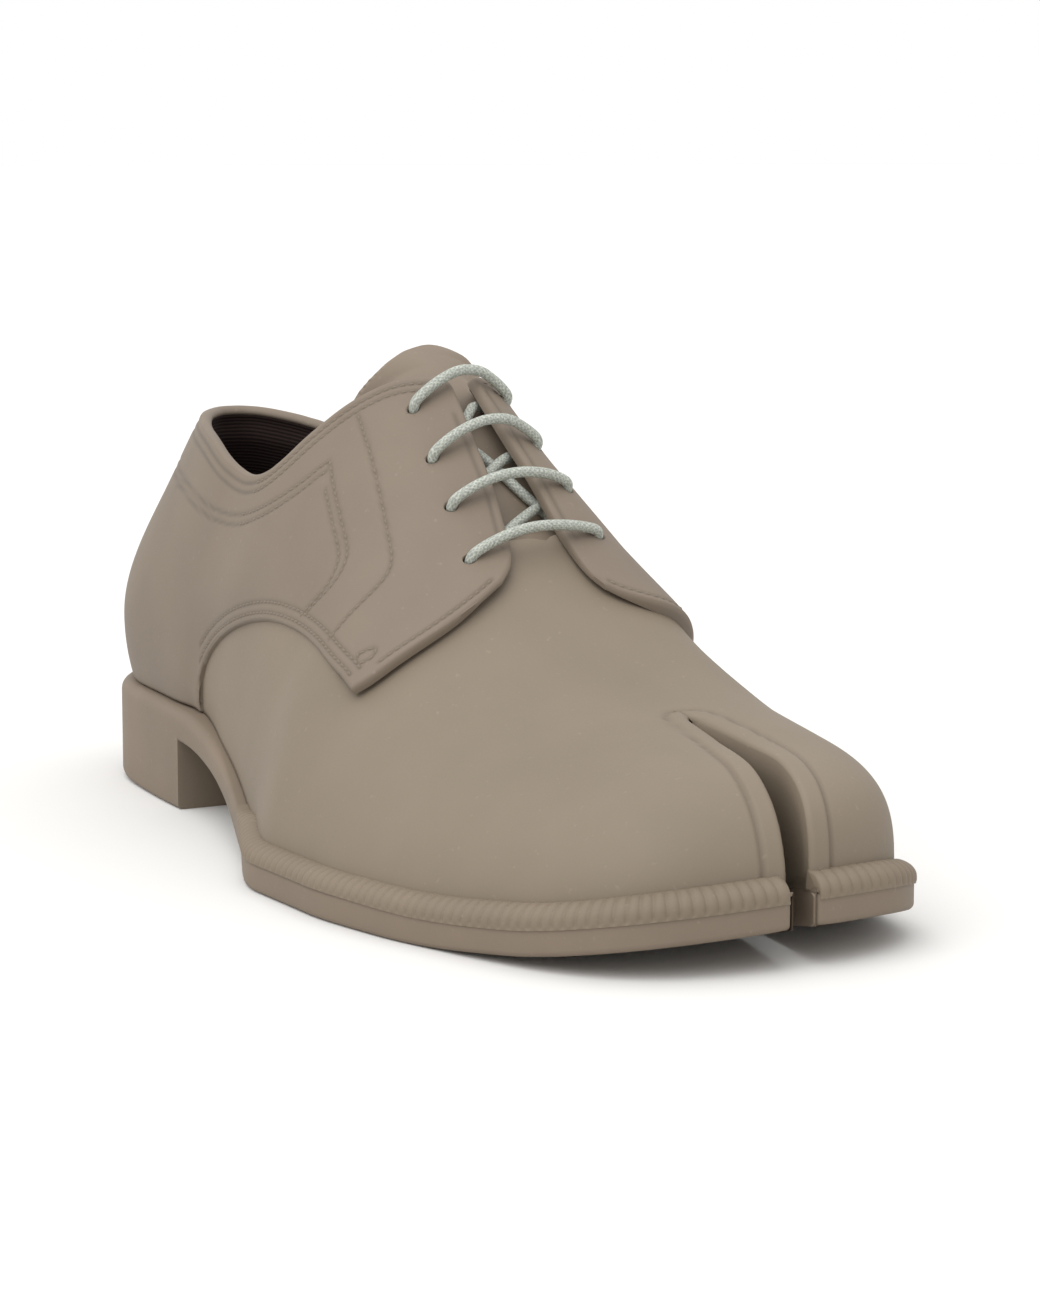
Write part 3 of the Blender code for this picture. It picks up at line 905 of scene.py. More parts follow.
def wire(tree: bpy.types.NodeTree, node: bpy.types.Node, **values: object) -> None:
    """Set a node's values and link its sockets.

    Args:
        tree: Node tree of a material.
        node: Node of that tree.
        values: Node settings, or values or source sockets for inputs; an underscore stands for a
            space, and a key such as in_1 names an input by number.
    """
    for key, value in values.items():
        if hasattr(node, key):
            setattr(node, key, value)
            continue
        place = int(key[3:]) if key.startswith("in_") else key.replace("_", " ")
        socket = node.inputs[place]
        if isinstance(value, bpy.types.NodeSocket):
            tree.links.new(value, socket)
        else:
            socket.default_value = value


def add_node(tree: bpy.types.NodeTree, kind: str, **values: object) -> bpy.types.Node:
    """Add a node, set its values and link its sockets.

    Args:
        tree: Node tree of a material.
        kind: Node type.
        values: Settings and inputs, named as for wire.

    Returns:
        The new node.
    """
    made = tree.nodes.new(kind)
    wire(tree, made, **values)
    return made


def put_on(piece: bpy.types.Object, material: bpy.types.Material) -> None:
    """Give a piece one material in place of those it has."""
    piece.data.materials.clear()
    piece.data.materials.append(material)


def blank_material(name: str) -> tuple[bpy.types.Material, bpy.types.NodeTree, bpy.types.Node]:
    """New node material with only its Principled shader and output.

    Args:
        name: Name of the material.

    Returns:
        The material, its node tree and its shader.
    """
    material = bpy.data.materials.new(name)
    material.use_nodes = True
    return material, material.node_tree, material.node_tree.nodes["Principled BSDF"]


@dataclass(frozen=True)
class MouldedRubber:
    """Matte rubber from a blasted mould: an even, chalky surface with fine grain and faint blotches.

    The grain of a real blasted mould is finer; it is drawn at 0.55 mm so that it shows. Where grooves are
    marked, their colour is darkened as painted shade.
    """

    name: str
    shade: str
    pale: str
    roughness: float = 0.62
    grain_mm: float = 0.55
    blotch_mm: float = 26.0
    speck_mm: float = 1.6
    grain_depth_mm: float = 0.05
    painted_groove_shade: float = 0.0
    dust: str = "#D8CCBC"
    dust_share: float = 0.06
    painted_groove_shadow: str = "#2E2620"
    bump_strength: float = 0.35
    specular: float = 0.32

    def dress(self, piece: bpy.types.Object) -> None:
        """Put the finish on a piece.

        Args:
            piece: The piece.
        """
        material, tree, shader = blank_material(self.name)
        place = add_node(tree, "ShaderNodeTexCoord").outputs["Object"]
        blotch, grain, speck = (
            add_node(
                tree, "ShaderNodeTexNoise", Vector=place, Scale=1.0 / (size * MM), Detail=detail,
            ).outputs["Fac"]
            for size, detail in ((self.blotch_mm, 3.0), (self.grain_mm, 2.0), (self.speck_mm, 1.0))
        )
        spread = add_node(tree, "ShaderNodeMapRange", Value=blotch, From_Min=0.3, From_Max=0.7)
        dusty = add_node(
            tree, "ShaderNodeMapRange", Value=speck, From_Min=0.7, From_Max=0.82, To_Max=self.dust_share,
        )
        mix = add_node(
            tree, "ShaderNodeMix", data_type="RGBA", in_0=spread.outputs["Result"],
            in_6=linear(self.shade), in_7=linear(self.pale),
        )
        colour = add_node(
            tree, "ShaderNodeMix", data_type="RGBA", in_0=dusty.outputs["Result"],
            in_6=mix.outputs[2], in_7=linear(self.dust),
        )
        # Painted shade: the colour is mixed towards a dark shadow colour where a point lies in a groove
        # or row
        if self.painted_groove_shade:
            row = add_node(tree, "ShaderNodeAttribute", attribute_name="painted_shade_weight")
            deep = add_node(
                tree, "ShaderNodeMapRange", Value=row.outputs["Fac"], To_Max=self.painted_groove_shade,
            )
            colour = add_node(
                tree, "ShaderNodeMix", data_type="RGBA", in_0=deep.outputs["Result"],
                in_6=colour.outputs[2], in_7=linear(self.painted_groove_shadow),
            )
        rough = add_node(
            tree, "ShaderNodeMapRange", Value=grain,
            To_Min=self.roughness - 0.06, To_Max=self.roughness + 0.08,
        )
        bump = add_node(
            tree, "ShaderNodeBump", Strength=self.bump_strength,
            Distance=self.grain_depth_mm * MM, Height=grain,
        )
        wire(
            tree, shader, Base_Color=colour.outputs[2], Roughness=rough.outputs["Result"],
            Specular_IOR_Level=self.specular, Normal=bump.outputs["Normal"],
        )
        put_on(piece, material)


@dataclass(frozen=True)
class RibbedTextile:
    """Woven lining with fine ribs: dull, dark, each rib catching a little light."""

    name: str
    shade: str
    pale: str
    rib_mm: float = 1.0
    by_uv: bool = True
    yarn_mm: float = 0.5
    bump_mm: float = 0.15
    bump_strength: float = 0.6
    roughness: float = 0.9
    specular: float = 0.15

    def dress(self, piece: bpy.types.Object) -> None:
        """Put the finish on a piece.

        Args:
            piece: The piece.
        """
        material, tree, shader = blank_material(self.name)
        coordinate = add_node(tree, "ShaderNodeTexCoord")
        place = coordinate.outputs["UV" if self.by_uv else "Object"]
        unit_size = 1.0 if self.by_uv else 1.0 / MM
        rib = add_node(
            tree, "ShaderNodeTexWave", bands_direction="Y", wave_profile="SIN", Vector=place,
            Scale=unit_size * np.pi / (10.0 * self.rib_mm), Distortion=0.6, Detail=1.0,
        ).outputs["Fac"]
        yarn = add_node(
            tree, "ShaderNodeTexNoise", Vector=place, Scale=unit_size / self.yarn_mm, Detail=2.0,
        ).outputs["Fac"]
        height = add_node(tree, "ShaderNodeMath", operation="ADD", in_0=rib, in_1=yarn)
        bump = add_node(
            tree, "ShaderNodeBump", Strength=self.bump_strength,
            Distance=self.bump_mm * MM, Height=height.outputs[0],
        )
        # Painted highlight: the rib crests are painted paler than the hollows between them
        colour = add_node(
            tree, "ShaderNodeMix", data_type="RGBA", in_0=rib,
            in_6=linear(self.shade), in_7=linear(self.pale),
        )
        wire(
            tree, shader, Base_Color=colour.outputs[2], Roughness=self.roughness,
            Specular_IOR_Level=self.specular, Normal=bump.outputs["Normal"],
        )
        put_on(piece, material)


@dataclass(frozen=True)
class WaxedBraid:
    """Round cotton braid with a waxed surface: crossing strands, pale on their crests, with painted shade
    between them and darker flecks.
    """

    name: str
    shade: str
    pale: str
    strand_mm: float = 0.8
    strand_lean: float = 0.9
    flecks_per_mm: float = 1.7
    bump_mm: float = 0.12
    bump_strength: float = 0.6
    roughness: float = 0.6
    specular: float = 0.3

    def dress(self, piece: bpy.types.Object) -> None:
        """Put the finish on a piece.

        Args:
            piece: The piece.
        """
        material, tree, shader = blank_material(self.name)
        place = add_node(tree, "ShaderNodeTexCoord").outputs["UV"]
        waves = []
        for lean in (self.strand_lean, -self.strand_lean):
            turned = add_node(tree, "ShaderNodeMapping", Vector=place, Rotation=(0.0, 0.0, lean))
            waves.append(add_node(
                tree, "ShaderNodeTexWave", wave_profile="SIN", Vector=turned.outputs["Vector"],
                Scale=np.pi / (10.0 * self.strand_mm), Distortion=0.4, Detail=1.0,
            ).outputs["Fac"])
        woven = add_node(
            tree, "ShaderNodeMath", operation="MAXIMUM", in_0=waves[0], in_1=waves[1],
        ).outputs[0]
        fleck = add_node(
            tree, "ShaderNodeTexNoise", Vector=place, Scale=self.flecks_per_mm, Detail=2.0,
        )
        dark = add_node(
            tree, "ShaderNodeMapRange", Value=fleck.outputs["Fac"], From_Min=0.35, From_Max=0.62,
        )
        share = add_node(
            tree, "ShaderNodeMath", operation="MULTIPLY", in_0=woven, in_1=dark.outputs["Result"],
        )
        bump = add_node(
            tree, "ShaderNodeBump", Strength=self.bump_strength,
            Distance=self.bump_mm * MM, Height=woven,
        )
        # Painted shade: the colour goes to the darker shade between the strands, and also where the
        # flecks fall
        colour = add_node(
            tree, "ShaderNodeMix", data_type="RGBA", in_0=share.outputs[0],
            in_6=linear(self.shade), in_7=linear(self.pale),
        )
        wire(
            tree, shader, Base_Color=colour.outputs[2], Roughness=self.roughness,
            Specular_IOR_Level=self.specular, Normal=bump.outputs["Normal"],
        )
        put_on(piece, material)


@dataclass
class Sole:
    """Moulded unit of heel block, waist, forefoot and ledge, split at the toe, with a ribbed welt."""

    last: Last
    finish: MouldedRubber
    welt_finish: MouldedRubber
    breast: float = 82.0
    breast_top: float = 17.0
    heel_edge: float = 2.6
    bottom_edge: float = 1.3
    top_edge: float = 1.3
    corner: float = 1.1
    slot_lip: float = 0.8
    heel_pull: float = 8.0
    heel_pull_end: float = 40.0
    heel_edge_range: tuple = (10.0, 70.0)
    waist_edge: float = 1.5
    waist_edge_range: tuple = (95.0, 135.0)
    welt_start: float = 141.0
    welt_rise: float = 3.5
    welt_proud: float = 0.35
    rib_pitch: float = 2.65
    rib_depth: float = 0.7
    rib_mean: float = 0.72
    rib_samples: float = 11.0
    welt_fade: float = 16.0
    welt_drop: float = 0.5
    toe_drop: float = 1.0
    toe_drop_range: tuple = (205.0, 275.0)
    welt_lap: float = 0.5
    welt_stop: float = 1.3

    def _slot_end(self, side: Side) -> float:
        """Share of the way round at which the sole edge meets the slot.

        Args:
            side: Side of the shoe.

        Returns:
            The share, 0 to 1.
        """
        share = np.linspace(0.8, 1.0, 4001)
        line, _ = self.last.edge(self.last.stations(share), side, 0.0)
        return float(share[np.argmax(clear_of_slot(line, side) <= 0.0)])

    def _rim(self, at: Array, side: Side) -> tuple[Array, Array]:
        """Sole edge of one side with its corner at the slot rounded, and its outward direction.

        Args:
            at: Stations in millimetres that end at the slot.
            side: Side of the shoe.

        Returns:
            Plan places and outward directions, each shaped (count, 2).
        """
        line, out = self.last.edge(at, side, 0.0)
        left = np.linalg.norm(line - line[-1], axis=1)
        return line - edge_drop(left, self.corner)[:, None] * out, out

    def _half(self, side: Side) -> tuple[Array, Array]:
        """Sections of one half from the middle of the underside round the edge to the middle of the top.

        Each section runs along the underside, round the bottom edge, up the wall, round
        the top edge and in along the ledge. The middle is the crest line or
        the slot wall.

        Args:
            side: Side of the shoe.

        Returns:
            Places shaped (sections, points, 3) and, for each section, if it lies beside the slot.
        """
        end = self._slot_end(side)
        share = np.concatenate((np.linspace(0.0, 0.86, 170), np.linspace(0.86, end, 70)[1:]))
        at = self.last.stations(share)
        mark = int(np.searchsorted(at, self.breast))
        at = np.insert(at, mark, (self.breast, self.breast))
        heel = np.arange(len(at)) <= mark
        even = np.where(np.arange(len(at)) == mark + 1, at + 1e-4, at)
        line, out = self._rim(even, side)
        pulled = at + self.heel_pull * np.clip(1.0 - at / self.heel_pull_end, 0.0, 1.0) ** 2
        middle_x = np.where(at < 0.5 * self.heel_pull_end, pulled, np.minimum(pulled, line[:, 0]))
        half = np.maximum(smooth(SLOT, 1, middle_x), 0.0)
        middle = np.column_stack((middle_x, smooth(PLAN, 3, middle_x) + side.value * half))
        back = fall(at, *self.heel_edge_range)
        low_edge = self.bottom_edge + (self.heel_edge - self.bottom_edge) * back
        top_edge = self.top_edge + self.waist_edge * fall(at, *self.waist_edge_range)
        levels = []

        def add(inset: Array, height: Callable[[Array], Array], to_middle: float = 0.0) -> None:
            """Keep one line of section points, moved a share of the way to the middle.

            Args:
                inset: Distance in from the edge.
                height: Height over plan places.
                to_middle: Share of the way to the middle.
            """
            plan = line - np.reshape(inset, (-1, 1)) * out
            plan = plan + to_middle * (middle - plan)
            levels.append(np.column_stack((plan, height(plan))))

        def under(plan: Array) -> Array:
            """Height of the underside."""
            return np.where(heel, 0.0, smooth(SOLE_HEIGHTS, 2, plan[:, 0]) + self.last.lift(plan))

        def beside(plan: Array) -> Array:
            """Height of the top of the heel breast, or of the underside ahead of it."""
            return np.where(heel, self.breast_top, under(plan) + low_edge)

        for way in np.linspace(1.0, 0.0, 7):
            add(low_edge, under, way)
        for angle in np.linspace(0.0, QUARTER_TURN, 6)[1:]:
            climb = low_edge * (1.0 - np.cos(angle))
            add(low_edge * (1.0 - np.sin(angle)), lambda plan, c=climb: under(plan) + c)
        for way in (0.35, 0.7, 1.0):
            add(0.0 * at, lambda plan, w=way: (
                under(plan) + low_edge + w * (beside(plan) - under(plan) - low_edge)
            ))
        add(0.0 * at, lambda plan: np.maximum(self.last.ledge(plan) - top_edge - 0.5, beside(plan)))
        for angle in np.linspace(0.0, QUARTER_TURN, 7):
            dip = top_edge * (1.0 - np.sin(angle))
            add(top_edge * (1.0 - np.cos(angle)), lambda plan, d=dip: self.last.ledge(plan) - d)
        for way in np.linspace(0.0, 1.0, 7)[1:-1]:
            add(top_edge, self.last.ledge, way)
        slotted = smooth(SLOT, 1, middle_x) > 0.0
        add(top_edge, lambda plan: self.last.ledge(plan) + np.where(slotted, self.slot_lip, 0.0), 1.0)
        return np.stack(levels, axis=1), slotted

    def build_unit(self) -> bpy.types.Object:
        """Build the moulded unit from its two halves and the walls of the slot.

        Returns:
            The finished piece.
        """
        points, faces, count = [], [], 0
        for side in Side:
            grid, beside_slot = self._half(side)
            rows, columns = grid.shape[:2]
            faces.extend(grid_faces(rows, columns, count).tolist())
            points.append(grid.reshape(-1, 3))
            count += rows * columns
            first = int(np.argmax(beside_slot)) - 1
            top = grid[first:, -1]
            way = np.linspace(0.0, 1.0, 5)[None, :, None]
            wall = top[:, None] + way * (grid[first:, 0] - top)[:, None]
            faces.extend(grid_faces(len(top), 5, count).tolist())
            points.append(wall.reshape(-1, 3))
            count += wall.shape[0] * 5
        piece = Builder.mesh("sole_unit", np.concatenate(points), faces, sharp=0.9)
        self.finish.dress(piece)
        return Builder.settle(piece, "sole", "sole")

    def build_welt(self) -> bpy.types.Object:
        """Build the ribbed welt: a bead over the rim of the ledge with rounded ribs square to it.

        The bead's section stands up from a parting line on the sole edge and turns over to the
        upper as a quarter of an ellipse. Ribs stand on it as the root of the cosine of a phase
        that grows with the walk along it.

        Returns:
            The finished piece.
        """
        points, faces, count = [], [], 0
        angle = np.linspace(0.0, QUARTER_TURN, 12)
        for side in Side:
            share = np.linspace(0.0, self._slot_end(side), 6001)
            at = self.last.stations(share)
            line, out = self._rim(at, side)
            keep = at > self.welt_start
            walk = walk_of(line[keep])
            want = np.arange(0.0, walk[-1] - self.welt_stop, self.rib_pitch / self.rib_samples)
            plan = at_walk(line[keep], walk, want)
            way = unit(at_walk(out[keep], walk, want))
            fade = ramp(want, 0.0, self.welt_fade)[:, None]
            lower = self.welt_drop + self.toe_drop * ramp(plan[:, 0], *self.toe_drop_range)
            drop = lower[:, None] * fade
            reach = (smooth(LEDGE, 1, plan[:, 0]) + self.welt_lap)[:, None]
            high = self.welt_rise * (0.2 + 0.8 * fade)
            proud = self.welt_proud * fade
            wall = np.linspace(0.0, 1.0, 6)[None]
            over = -proud + (reach + proud) * (1.0 - np.cos(angle))[None, 1:]
            inset = np.concatenate((-proud + 0.0 * wall, over), axis=1)
            rise = np.concatenate((-drop * (1.0 - wall), high * np.sin(angle)[None, 1:]), axis=1)
            tilt = np.concatenate((0.0 * wall, angle[None, 1:]), axis=1)
            moves = [np.diff(part, axis=1, prepend=part[:, :1]) for part in (inset, rise)]
            climb = np.cumsum(np.hypot(*moves), axis=1)
            phase = want[:, None] / self.rib_pitch
            rib = self.rib_depth * fade * (np.sqrt(np.abs(np.cos(np.pi * phase))) - self.rib_mean)
            rib = rib * np.clip(climb / 0.7, 0.0, 1.0)
            rib = rib * np.clip((climb[:, -1:] - climb) / 1.4, 0.0, 1.0)
            inset = inset - rib * np.cos(tilt)
            rise = rise + rib * np.sin(tilt)
            one = np.ones_like(reach)
            inset = np.concatenate((inset, reach + 0.6, 0.9 * one, 0.9 * one), axis=1)
            rise = np.concatenate((rise, -0.3 * one, -0.3 * one, -drop - 0.05), axis=1)
            spot = plan[:, None] - inset[..., None] * way[:, None]
            height = self.last.ledge(plan)[:, None] + rise
            grid = np.concatenate((spot, height[..., None]), axis=-1)
            rows, columns = grid.shape[:2]
            faces.extend(tube_faces(rows, columns, count))
            points.append(grid.reshape(-1, 3))
            count += rows * columns
        piece = Builder.mesh("ribbed_welt", np.concatenate(points), faces, sharp=1.2)
        self.welt_finish.dress(piece)
        return Builder.settle(piece, "sole")


@dataclass
class Vamp:
    """Base layer of the upper with the slot in its toe and the hem round the slot."""

    last: Last
    finish: MouldedRubber
    wall: float = 1.6
    edge_round: float = 1.3
    hem_width: float = 5.2
    hem_rise: float = 0.36
    hem_groove: float = 0.42
    below_collar: float = 8.0
    rise_rows: int = 44
    edge_steep: float = 0.93
    thin_within: float = 2.5
    slot_ribs: int = 120
    even_edge: float = 0.25
    edge_samples: int = 4000
    hem_soft: float = 0.9
    crease_out: float = 0.2
    crease_width: float = 0.6
    slot_lean: float = 0.6
    slot_flare: float = 0.15
    slot_sink: float = 1.6

    def _slot_ribs(self, side: Side, first: float, last: float) -> Array:
        """Turns of the ribs beside the slot, spaced by a mix of even turn and even walk along its edge.

        Args:
            side: Side of the shoe.
            first: Turn at which the slot starts.
            last: Turn at which the rib's foot meets the slot.

        Returns:
            Turns without the side's sign.
        """
        dense = np.linspace(first, last, 1500)
        walk = walk_of(self.last.point(side.value * dense, self.top_rise(side.value * dense)))
        even = np.linspace(0.0, 1.0, dense.size)
        mixed = (1.0 - self.even_edge) * even + self.even_edge * walk / walk[-1]
        return np.interp(np.linspace(0.0, 1.0, self.slot_ribs), mixed, dense)

    def top_rise(self, turn: Array) -> Array:
        """Rise at which each rib ends: at the collar, the throat, the crest or the slot.

        The first change of sign of the least clearance along a dense rib is found by straight
        interpolation.

        Args:
            turn: Places round the plan.

        Returns:
            Rise angles.
        """
        angle = np.linspace(0.0, QUARTER_TURN, 400)
        spots = self.last.point(turn[:, None], angle[None])
        x, y, z = np.moveaxis(spots, -1, 0)
        aside = np.abs(y - smooth(PLAN, 3, x))
        throat = np.where(turn[:, None] < 0.0, smooth(THROAT, 1, x), smooth(THROAT, 2, x))
        collar = smooth(TOPLINE, 1, x) - 0.1 * (26.0 + y) - self.below_collar - z
        clear = np.minimum(np.minimum(aside - throat, aside - smooth(SLOT, 1, x)), collar)
        bad = clear < 0.0
        k = np.argmax(bad, axis=1)
        row = np.arange(len(turn))
        before = clear[row, np.maximum(k - 1, 0)]
        after = clear[row, k]
        part = before / np.maximum(before - after, 1e-9)
        cut = angle[np.maximum(k - 1, 0)] + part * (angle[1] - angle[0])
        return np.where(bad.any(axis=1), np.where(k == 0, 0.0, cut), QUARTER_TURN)

    def build(self) -> bpy.types.Object:
        """Build the vamp, its hems and the walls of the slot.

        Returns:
            The finished piece.
        """
        spine = self.last.spine_toe - self.last.spine_heel
        join = (SLOT_START - self.last.spine_heel) / spine * self.last.length
        joined = float(np.interp(join, self.last.stations(self.last.share), self.last.share))
        level = 1.0 - (1.0 - np.linspace(0.0, 1.0, self.rise_rows)) ** 1.35
        grids, edges = [], []
        for side in Side:
            foot = self.last.ribs[side][:, :2]
            met = (clear_of_slot(foot, side) <= 0.0) & (self.last.share > 0.8)
            end = float(self.last.share[np.argmax(met)]) - 1e-4
            shared = np.concatenate((np.linspace(0.0, 0.5, 60), np.linspace(0.5, joined, 90)[1:]))
            turn = side.value * np.concatenate((shared, self._slot_ribs(side, joined, end)[1:]))
            turn[0] = side.value * 1e-6
            rise = self.top_rise(turn)[:, None] * level[None]
            grids.append((side, turn, rise, self.last.point(turn[:, None], rise)))
            slotted = np.abs(turn) >= joined
            edges.append(grids[-1][3][slotted, -1])
        line = np.concatenate([
            at_walk(edge, walk, np.linspace(0.0, walk[-1], self.edge_samples))
            for edge, walk in zip(edges, map(walk_of, edges))
        ])
        points, faces, shade, count = [], [], [], 0
        for side, turn, rise, spots in grids:
            slotted = np.abs(turn) >= joined
            gap = nearest_gap(spots.reshape(-1, 3), line).reshape(rise.shape)
            gap[slotted, -1] = 0.0
            height = -edge_drop(gap, self.edge_round, self.edge_steep)
            height = height + self.hem_rise * fall(gap, self.hem_width - self.hem_soft, self.hem_width)
            crease = np.exp(-(((gap - self.hem_width - self.crease_out) / self.crease_width) ** 2))
            height = height - self.hem_groove * crease
            grid = spots + height[..., None] * self.last.normal(turn[:, None], rise)
            faces.extend(grid_faces(*grid.shape[:2], count).tolist())
            points.append(grid.reshape(-1, 3))
            # The hem groove's weight, kept for the painted shade in it
            shade.append(crease.ravel())
            count += grid.shape[0] * grid.shape[1]
            top = grid[slotted, -1]
            part = np.linspace(0.0, 1.0, 9)[None]
            across = top[:, :1] + part * self.slot_lean * (SLOT_START - top[:, :1])
            aside = np.maximum(smooth(SLOT, 1, across), 0.0) + self.slot_flare * part
            plan = np.stack((across, smooth(PLAN, 3, across) + side.value * aside), axis=-1)
            foot_z = self.last.ledge(plan[:, -1])[:, None] - self.slot_sink
            deep = top[:, 2:] + part * (foot_z - top[:, 2:])
            wall = np.concatenate((plan, deep[..., None]), axis=-1)
            wall[:, 0] = top
            faces.extend(grid_faces(len(top), 9, count).tolist())
            points.append(wall.reshape(-1, 3))
            shade.append(np.zeros(wall.shape[0] * 9))
            count += wall.shape[0] * 9
        points, shade = np.concatenate(points), np.concatenate(shade)
        piece = Builder.mesh("vamp", points, faces, sharp=1.1, shade=shade)
        spots = np.empty(3 * len(piece.data.vertices))
        piece.data.vertices.foreach_get("co", spots)
        clear = nearest_gap(spots.reshape(-1, 3) / MM + ORIGIN, line) > self.thin_within
        Builder.wall(piece, self.wall, clear)
        self.finish.dress(piece)
        return Builder.settle(piece, "upper", "upper")


@dataclass
class Stitches:
    """Moulded stitches: low rounded dashes in a shallow groove."""

    finish: MouldedRubber
    pitch: float = 2.1
    length: float = 1.5
    width: float = 0.75
    rise: float = 0.42
    sink: float = 0.26
    spots: list = field(default_factory=list)

    def along(self, spot: Array, normal: Array) -> None:
        """Keep one row of even spots and normals."""
        self.spots.append((spot, normal, unit(np.gradient(spot, axis=0))))

    def build(self) -> bpy.types.Object:
        """Build all dashes as one piece.

        A dash is half an ellipsoid on a grid: length by a sine, width by a sine that narrows
        towards the ends, and height by the product of two cosines.

        Returns:
            The finished piece.
        """
        spot, normal, way = (np.concatenate(part) for part in zip(*self.spots))
        cross = np.cross(normal, way)
        a, b = np.meshgrid(np.linspace(-1.0, 1.0, 5), np.linspace(-1.0, 1.0, 4), indexing="ij")
        long_way = 0.5 * self.length * np.sin(QUARTER_TURN * a)
        wide_way = 0.5 * self.width * np.sin(QUARTER_TURN * b) * np.cos(0.8 * QUARTER_TURN * a)
        tall_way = self.rise * np.cos(QUARTER_TURN * a) * np.cos(QUARTER_TURN * b) - self.sink
        dash = (
            spot[:, None, None] + long_way[..., None] * way[:, None, None]
            + wide_way[..., None] * cross[:, None, None] + tall_way[..., None] * normal[:, None, None]
        )
        start = a.size * np.arange(len(spot))[:, None]
        faces = (grid_faces(*a.shape)[None] + start[..., None]).reshape(-1, 4).tolist()
        # Border of the grid in order, which closes each dash underneath
        rim = np.array((0, 4, 8, 12, 16, 17, 18, 19, 15, 11, 7, 3, 2, 1))
        faces.extend((rim[None] + start).tolist())
        piece = Builder.mesh("moulded_stitches", dash.reshape(-1, 3), faces, sharp=1.3)
        self.finish.dress(piece)
        return Builder.settle(piece, "quarters")


@dataclass
class Quarters:
    """Raised layer round the heel with the two lace flaps, its sewing-like rows, collar and lining."""

    last: Last
    finish: MouldedRubber
    stitches: Stitches
    lining_finish: RibbedTextile
    height: float = 2.6
    under: float = -1.1
    edge_round: float = 1.25
    flap_lift: float = 0.9
    arch_thin: float = 1.3
    collar_thin: float = 1.4
    arch_reach: float = 8.0
    outer_columns: int = 340
    inner_columns: int = 220
    rows: int = 82
    groove: float = 0.24
    groove_width: float = 0.55
    eyelet: float = 1.6
    pin_sides: int = 24
    pin_ends: tuple = (-6.0, 8.0)
    flap_reach: float = 13.0
    inner_share: float = 0.4
    flap_gap: float = 2.3
    front_crowd: float = 0.06
    edge_crowd: float = 0.075
    arch_ends: tuple = (83.0, 184.0)
    arch_fade: tuple = (168.0, 187.0)
    arch_insets: tuple = (1.9, 4.4)
    collar_insets: tuple = (2.5, 4.8)
    collar_taper: tuple = (2.0, 16.0)
    collar_dip: float = 104.0
    inner_drop: float = 2.4
    bead_half: tuple = (1.45, 0.6)
    bead_more: tuple = (0.15, 0.5)
    bead_back: tuple = (98.0, 128.0)
    bead_out: float = 0.95
    bead_sink: float = 0.8
    lining_in: float = 2.1
    lining_out: float = 1.9
    lining_turn: tuple = (0.89, 0.97)
    lining_wall: float = 0.5
    places: Array = field(init=False)
    spots: Array = field(init=False)
    lines: dict = field(init=False)

    @property
    def columns(self) -> int:
        """Number of columns of the patch."""
        return self.outer_columns + self.inner_columns

    def __post_init__(self) -> None:
        """Lay out the patch and the rows on it."""
        self.places = self._patch()
        self.spots = self.last.point(self.places[..., 0], self.places[..., 1])
        self.lines = self._rows()

    def _curve(self, places: Array, shares: Array) -> Array:
        """Places along a rounded path at shares of its walked length.

        Args:
            places: Control places, shaped (count, 2).
            shares: Shares of the length.

        Returns:
            Places, one for each share.
        """
        fine = round_corners(np.asarray(places))
        walk = walk_of(self.last.point(fine[:, 0], fine[:, 1]))
        return at_walk(fine, walk, shares * walk[-1])

    def _border(self, side: Side) -> tuple[Array, Array, Array]:
        """Control places of one side's lower edge, flap front and top edge.

        Args:
            side: Side of the shoe.

        Returns:
            Lower edge from heel to corner, front from corner to facing, and top from heel to facing.
        """
        flap = OUTER_FLAP if side is Side.OUTER else INNER_FLAP
        facing = OUTER_FACING if side is Side.OUTER else INNER_FACING
        collar = OUTER_COLLAR if side is Side.OUTER else INNER_COLLAR
        arch = self.last.locate(side, np.array(ARCH), (0, 2), self.height)
        front = self.last.locate(side, np.array(flap), (0, 1, 2), self.height)
        start = arch[0, 0]
        foot = np.column_stack((np.linspace(0.0, 1.0, 6) * start, np.zeros(6)))
        lower = np.concatenate((foot, foot[-1:], arch[1:-1], front[:1], front[:1]))
        front_path = np.concatenate((front[:1], front))
        lace = self.last.locate(side, np.array(facing), (0, 1), self.height)
        rim = self.last.locate(side, np.array(collar), (0, 2), self.height)
        near = [
            self._back_place(turn, COLLAR_BACK_HEIGHT + part * (collar[-1][1] - COLLAR_BACK_HEIGHT))
            for turn, part in ((0.0, 0.0), (0.25 * rim[-1, 0], 0.1), (0.6 * rim[-1, 0], 0.5))
        ]
        upper = np.concatenate((*near, rim[::-1], lace[::-1]))
        return lower, front_path, upper

    def _back_place(self, turn: float, high: float) -> Array:
        """Place on one rib near the heel at which the quarters' face has a height above the floor.

        Args:
            turn: Place of the rib round the plan.
            high: Height above the floor.

        Returns:
            The place, shaped (1, 2).
        """
        angle = np.linspace(0.3, 1.4, 600)
        rib = self.last.raised(np.full(600, turn), angle, self.height)[:, 2]
        return np.array([[turn, np.interp(high, rib, angle)]])

    def _patch(self) -> Array:
        """Places of the patch: a Coons surface between lower edge, top edge and the two flap fronts.

        It is the mean of the two ways of joining opposite borders by straight lines, less the
        bilinear surface through the corners. From the heel the top edge is walked slower than the
        lower one, a share s as s (1 + s) / 2, so that the columns lean back with the arch's leg.

        Returns:
            Places, shaped (columns, rows, 2).
        """
        lower_o, front_o, upper_o = self._border(Side.OUTER)
        lower_i, front_i, upper_i = self._border(Side.INNER)
        outer = np.linspace(0.0, 1.0, self.outer_columns, endpoint=False)
        inner = np.linspace(0.0, 1.0, self.inner_columns)
